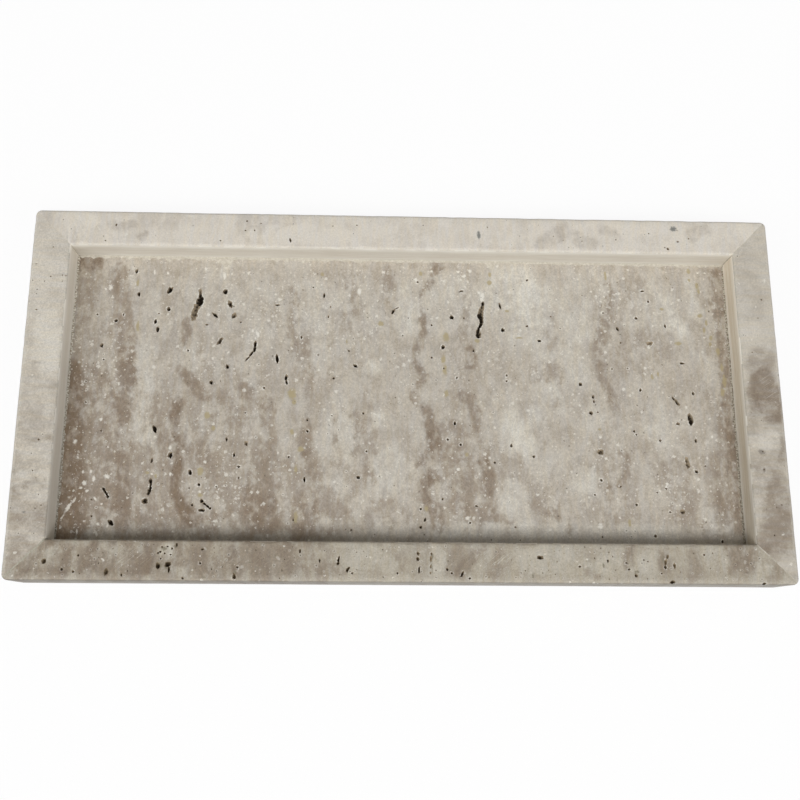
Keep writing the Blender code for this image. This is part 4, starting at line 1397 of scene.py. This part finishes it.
slab = bmesh.new()
outline(slab, slab_bottom, floor_level)
slab.normal_update()
for height, radius, steps in ((slab_bottom, under_round, 3), (floor_level, sharp_round, 1)):
    round_edges(slab, level_edges(slab, height), radius, steps)
slice_evenly(slab, 0, -half_length, half_length, slab_step)
slice_evenly(slab, 1, -half_width, half_width, slab_step)
slab.normal_update()
for vert in slab.verts:
    outside = min(half_length - abs(vert.co.x), half_width - abs(vert.co.y))
    if outside < worn_band:
        vert.co -= vert.normal * wear(vert.co)

draw = random.Random(41)
pits = listed_pits(floor_pits, floor_level)
field = (opening_x - field_margin, opening_y - field_margin)
field_start = (-field[0], -field[1])
pits += scattered_pits(draw, floor_small_pits, floor_level, field_start, field, 0.2 * mm, pits)
print("pits in the floor:", len(pits))

# %% [markdown]
# The tones and spots are stored on the mesh, so the visible floor needs a point at every
# millimetre, and one at every half millimetre round each pit and spot.

# %% Refine the floor and cut it
cell = 1 * mm


def cell_of(spot):
    return (round(spot.x / cell), round(spot.y / cell))


def cells_near(spots, margin):
    found = set()
    for place, wide, long, turn, deeper in spots:
        reach = math.ceil((max(wide, long) + margin) / cell)
        home_x, home_y = cell_of(place)
        for step_x in range(-reach, reach + 1):
            for step_y in range(-reach, reach + 1):
                found.add((home_x + step_x, home_y + step_y))
    return found


def in_view(spot):
    return abs(spot.x) < opening_x + 1 * mm and abs(spot.y) < opening_y + 1 * mm


fine_cells = cells_near(pits + listed_pits(olive_spots + white_spots, floor_level), 0.6 * mm)
bmesh.ops.subdivide_edges(slab, edges=level_edges(slab, floor_level, in_view), cuts=5, use_grid_fill=True)
near_spots = level_edges(slab, floor_level, lambda spot: cell_of(spot) in fine_cells)
bmesh.ops.subdivide_edges(slab, edges=near_spots, cuts=1, use_grid_fill=True)
print("slab faces before the cut:", len(slab.faces))

base_slab = keep(slab, "tray_floor", [stone["base_slab"]])
cut_pits(base_slab, pits, floor_lining, draw)
store_veins(base_slab, "brown", floor_veins_and_painted_shade, floor_level)
store_patches(base_slab, "pale", floor_pale_and_painted_light, floor_level)
store_patches(base_slab, "dusty", floor_speckled, floor_level)
store_spots(base_slab, "spot", olive_spots, floor_level)
rimmed = [row for row in floor_pits if draw.random() < 0.6]
store_spots(base_slab, "white", white_spots, floor_level, rimmed)
dress(base_slab, "base_slab")

# %% [markdown]
# ## Rails
# Each rail is a copy of the rim, cut off at the middle of the tray and then along the two
# mitres. The wall faces get the skim of filler. The Boolean that cuts the pits comes last.

# %% Saw the rails apart
mitre_gap = 0.002 * mm
rail_side = {
    "front_rail": Vector((0, -1, 0)),
    "back_rail": Vector((0, 1, 0)),
    "left_rail": Vector((-1, 0, 0)),
    "right_rail": Vector((1, 0, 0)),
}
small_pits = {"front_rail": 330, "back_rail": 60, "left_rail": 30, "right_rail": 30}
inner_margin = 1.2 * mm
outer_margin = 0.9 * mm
end_margin_x = 16 * mm
end_margin_y = 15 * mm


def saw(bm, point, direction):
    cut = cut_at(bm, point, direction, drop_outer=True)
    open_edges = [e for e in cut["geom_cut"] if isinstance(e, bmesh.types.BMEdge)]
    bmesh.ops.holes_fill(bm, edges=[e for e in open_edges if e.is_boundary], sides=0)


def saw_rail(bm, side, gap):
    saw(bm, Vector((0, 0, 0)), -side)
    along = Vector((-side.y, side.x, 0))
    for end in (-1, 1):
        inner_corner = Vector((0, 0, 0))
        inner_corner.x = (opening_x * side.x) + end * along.x * opening_x
        inner_corner.y = (opening_y * side.y) + end * along.y * opening_y
        direction = (end * along - side).normalized()
        saw(bm, inner_corner - direction * gap, direction)


def on_rail(side):
    start = opening_x if side.x else opening_y

    def test(place):
        across = side.x * place.x + side.y * place.y
        return start + inner_margin < across < start + rail_width - outer_margin

    return test


def rail_field(side):
    if side.y:
        low = (-half_length + end_margin_x, side.y * half_width - (rail_width if side.y > 0 else 0))
        return low, (half_length - end_margin_x, low[1] + rail_width)
    low = (side.x * half_length - (rail_width if side.x > 0 else 0), -half_width + end_margin_y)
    return low, (low[0] + rail_width, half_width - end_margin_y)


for name, side in rail_side.items():
    bm = rim.copy()
    saw_rail(bm, side, mitre_gap)
    rail = keep(bm, name.replace("_rail", "_rim"), [stone[name], walls[name]])
    for face in rail.data.polygons:
        if face.normal.dot(side) < -0.75 and face.center.z < rim_level - 0.5 * mm:
            face.material_index = 1
    draw = random.Random(len(name) * 7 + 3)
    pits = listed_pits(rail_pits[name], rim_level)
    low, high = rail_field(side)
    pits += scattered_pits(draw, small_pits[name], rim_level, low, high, tiny_pit, pits, on_rail(side))
    cut_pits(rail, pits, rail_lining, draw)
    store_veins(rail, "brown", rail_veins_and_painted_shade[name], rim_level)
    store_patches(rail, "pale", rail_pale[name], rim_level)
    store_spots(rail, "spot", grey_spots[name], rim_level)
    rimmed = [row for row in rail_pits[name] if draw.random() < 0.5]
    store_spots(rail, "white", [], rim_level, rimmed)
    store_patches(rail, "sanded", sanded[name], rim_level)
    dress(rail, name)

# %% [markdown]
# ## Filled mitres
# Where two rails meet, the glue joint was filled and sanded flush. It shows as a fine pale line
# that wanders a little. The line is a thin wavy plate, kept only where it overlaps the rim, and
# it stands a hundredth of a millimetre proud so that the stone never covers it.

# %% Make the mitre lines
line_half = {
    "front_left": 0.3 * mm,
    "front_right": 0.2 * mm,
    "back_left": 0.08 * mm,
    "back_right": 0.2 * mm,
}
line_start = -0.45 * mm
line_end = rail_width * math.sqrt(2) + 1 * mm
proud = 0.012 * mm
for corner, thickness in line_half.items():
    x_sign = 1 if "right" in corner else -1
    y_sign = 1 if "back" in corner else -1
    outward = Vector((x_sign, y_sign, 0)).normalized()
    sideways = Vector((-outward.y, outward.x, 0))
    plate = bmesh.new()
    far_corner = Vector((line_end, thickness, rim_level + 1 * mm))
    block(plate, Vector((line_start, -thickness, rail_bottom)), far_corner)
    slice_evenly(plate, 0, line_start, line_end, 0.7 * mm)
    for vert in plate.verts:
        distance = vert.co.x
        sway = 0.22 * mm * noise.noise(Vector((distance / (6 * mm), x_sign * 3.3, y_sign * 5.1)))
        ragged = 0.35 * thickness * noise.noise(Vector((distance / (1.1 * mm), vert.co.y * 900, 2.0)))
        vert.co.y += sway + ragged
    set_down(plate, outward, sideways, Vector((x_sign * opening_x, y_sign * opening_y, 0)))
    line = keep(plate, corner + "_mitre_line", [line_material[corner]])
    body_mesh = rim.copy()
    for vert in body_mesh.verts:
        vert.co += vert.normal * proud
    combine(line, keep(body_mesh, "rim_tool", [line_material[corner]]), "INTERSECT")
    dress(line, corner + "_mitre_glue")

# %% [markdown]
# ## Bed joints
# Under each rail lies the bed of adhesive. From outside it is a hairline between two stones,
# set back a tenth of a millimetre.

# %% Make the bed joints
recessed = 0.12 * mm
overlap = 0.05 * mm
for name, side in rail_side.items():
    bm = ring(floor_level - overlap, rail_bottom + overlap)
    saw_rail(bm, side, 0.0)
    saw(bm, side * ((half_length if side.x else half_width) - recessed), side)
    joint = keep(bm, name.replace("_rail", "_bed_joint"), [adhesive])
    dress(joint, name.replace("_rail", "_bed_glue"))

# %% [markdown]
# ## Filler at the foot of the walls
# The saw left the floor's edge scalloped, and filler was pressed into the scallops. Each strip
# is a bar that is sliced finely; its floor edge then follows a row of arcs whose meeting points
# are the white cusps, and its face is hollowed like a fillet. At the back wall a few tongues of
# filler run out along open pores.

# %% Make the filler strips
strip_height = 0.9 * mm
strip_slice = 0.45 * mm
# For each rail, in millimetres: width, ripple, reach of the cusps.
strip_form = {
    "front_rail": (0.75, 0.25, 0.3),
    "back_rail": (0.75, 0.25, 1.1),
    "left_rail": (0.8, 0.6, 0.2),
    "right_rail": (0.7, 0.6, 0.25),
}
# Each tongue: pixel across, length and breadth in millimetres.
tongue_row = 262
tongues = {
    "back_rail": [(226, 3.4, 1.8), (219, 1.8, 1.2), (491, 3.0, 1.5), (170, 1.2, 1.2), (357, 0.8, 1.5)],
}


def scallops(draw, start, end):
    marks = [start]
    while marks[-1] < end:
        marks.append(marks[-1] + draw.uniform(3.0, 11.0) * mm)
    return marks


def cusp(marks, position):
    for low, high in zip(marks, marks[1:]):
        if low <= position < high:
            middle = (low + high) / 2
            share = abs(position - middle) / ((high - low) / 2)
            return share ** 3 * min(1.0, (high - low) / (6 * mm))
    return 0.0


for name, side in rail_side.items():
    draw = random.Random(len(name) + 11)
    along = Vector((-side.y, side.x, 0))
    half = opening_x if side.y else opening_y
    wall = opening_y if side.y else opening_x
    wide, rippled, cusp_reach = strip_form[name]
    bm = bmesh.new()
    far_corner = Vector((half + 0.1 * mm, 1 * mm, 1 * mm))
    block(bm, Vector((-half - 0.1 * mm, -0.15 * mm, -0.35 * mm)), far_corner)
    cut_at(bm, (0, 0.4 * mm, 0), (0, 1, 0))
    refine(bm, 0, half, round(2 * half / strip_slice))
    marks = scallops(draw, -half - 1 * mm, half)
    for vert in bm.verts:
        position, out, height = vert.co
        ripple = noise.noise(Vector((position / (0.9 * mm), wall * 500, 1.0)))
        slow_wave = noise.noise(Vector((position / (9 * mm), wall * 700, 4.0)))
        width = wide * mm * (0.75 + 0.35 * slow_wave + rippled * ripple)
        plain = math.exp(-((position + 45 * mm) / (65 * mm)) ** 4)
        width += cusp(marks, position) * cusp_reach * (1 - 0.75 * plain) * mm
        for pixel_x, length, breadth in tongues.get(name, []):
            centre = place_of(pixel_x, tongue_row, floor_level).x
            offset = (along.x * position - centre) / (breadth * mm)
            width += length * mm * math.exp(-offset * offset)
        tall = strip_height * (0.8 + 0.3 * slow_wave + 0.2 * ripple)
        share = max(0.0, out / mm)
        if out > 0:
            vert.co.y = width * share
        if height > 0:
            vert.co.z = 0.02 * mm + tall * max(0.0, 1 - share) ** 2.2
    set_down(bm, along, -side, side * wall + Vector((0, 0, floor_level)))
    strip = keep(bm, name.replace("_rail", "_foot_filler"), [foot_fillers[name]])
    dress(strip, name.replace("_rail", "_filler_bead"))

# %% [markdown]
# ## Pads
# Four clear bumpers of the usual peel-off kind keep the stone off the table. A bumper is a
# short cone with a rounded edge at its foot, in a slightly cloudy silicone.

# %% Make the pads
foot_share = 0.93
foot_round = 0.35 * mm
silicone, tree, shader = principled("pad_silicone", Transmission_Weight=0.6, IOR=1.41)
cloudy = cloud(tree, object_millimetres(tree), (1.5, 1.5, 1.5))
tree.links.new(blend(tree, cloudy, paint(216, 218, 216), paint(232, 234, 232)), shader.inputs["Base Color"])
tree.links.new(fade(tree, cloudy, 0.2, 0.8, 0.3, 0.5), shader.inputs["Roughness"])

for corner in ("front_left", "front_right", "back_left", "back_right"):
    low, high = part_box(corner + "_pad")
    radius = (high.x - low.x) / 2
    bm = bmesh.new()
    bmesh.ops.create_cone(
        bm, cap_ends=True, segments=48, radius1=radius * foot_share, radius2=radius,
        depth=high.z - low.z,
    )
    bmesh.ops.translate(bm, vec=(low + high) / 2, verts=bm.verts)
    round_edges(bm, level_edges(bm, low.z), foot_round, 4)
    pad = keep(bm, corner + "_bumper", [silicone])
    dress(pad, corner + "_pad")

# %% [markdown]
# ## Floor and backdrop
# The photograph is a cut-out on white. The ground is nearly white and adds a glow that only the
# camera and mirror or glass rays see, so it shows as white, keeps the tray's shadow and throws
# no extra light on the stone. The world does the same round it.

# %% Make the ground and the world
def seen_rays(tree, *kinds):
    rays = tree.nodes.new("ShaderNodeLightPath").outputs
    seen = rays["Is Camera Ray"]
    for kind in kinds:
        seen = calc(tree, "MAXIMUM", seen, rays[kind])
    return seen


ground_size = 3.0
stage = bmesh.new()
bmesh.ops.create_grid(stage, x_segments=1, y_segments=1, size=ground_size)
ground_material, tree, shader = principled("pale_ground", Roughness=1.0, Specular_IOR_Level=0.0)
shader.inputs["Base Color"].default_value = (0.95, 0.95, 0.95, 1)
glow = add_node(tree, "ShaderNodeEmission", {"Color": white_light, "Strength": 1.0})
shade = times(tree, seen_rays(tree, "Is Glossy Ray", "Is Transmission Ray"), 0.9)
surface = add_node(tree, "ShaderNodeMixShader", {0: shade, 1: shader.outputs[0], 2: glow.outputs[0]})
tree.links.new(surface.outputs[0], tree.nodes["Material Output"].inputs["Surface"])
ground = keep(stage, "ground", [ground_material])

fill_level = 0.2
world = bpy.data.worlds.new("studio")
bpy.context.scene.world = world
world.use_nodes = True
tree = world.node_tree
sky = tree.nodes["Background"]
sky.inputs["Color"].default_value = white_light
strength = times(tree, seen_rays(tree, "Is Transmission Ray"), 1.0 - fill_level, fill_level)
tree.links.new(strength, sky.inputs["Strength"])
print("ground side in m:", 2 * ground_size, "fill level:", fill_level)


# %% [markdown]
# ## Lights
# A large soft key light hangs in front and overhead: the front wall throws a shadow on the floor
# and the back wall is bright. Two weak boxes at the left and right soften it, and a small one
# close above the back keeps that end from going flat. A level of 1 would light a surface below
# so that a colour renders as it is written.

# %% Hang the lights
def soft_box(name, direction, distance, width, depth, level):
    light = bpy.data.lights.new(name, "AREA")
    light.shape = "RECTANGLE"
    light.size = width
    light.size_y = depth
    slope = max(0.1, direction.normalized().z)
    light.energy = level * math.pi ** 2 * distance ** 2 / slope
    lamp = bpy.data.objects.new(name, light)
    lamp.location = direction.normalized() * distance
    lamp.rotation_euler = (-direction).to_track_quat("-Z", "Y").to_euler()
    bpy.context.scene.collection.objects.link(lamp)
    print(name, "power in watts:", round(light.energy, 2))


soft_box("key", Vector((-0.08, -0.5, 1.0)), 4.0, 3.2, 1.7, 0.525)
soft_box("left_light", Vector((-1.0, -0.7, 0.85)), 4.0, 1.6, 1.6, 0.15)
soft_box("right_light", Vector((1.0, -0.7, 0.85)), 4.0, 1.6, 1.6, 0.11)
soft_box("back_light", Vector((0.3, 0.35, 1.0)), 0.42, 0.3, 0.3, 0.05)

# %% [markdown]
# ## Finish
# The picture is meant to keep colours as they are written, so the view transform is Standard.

# %% Finish
rim.free()
bpy.context.scene.view_settings.view_transform = "Standard"
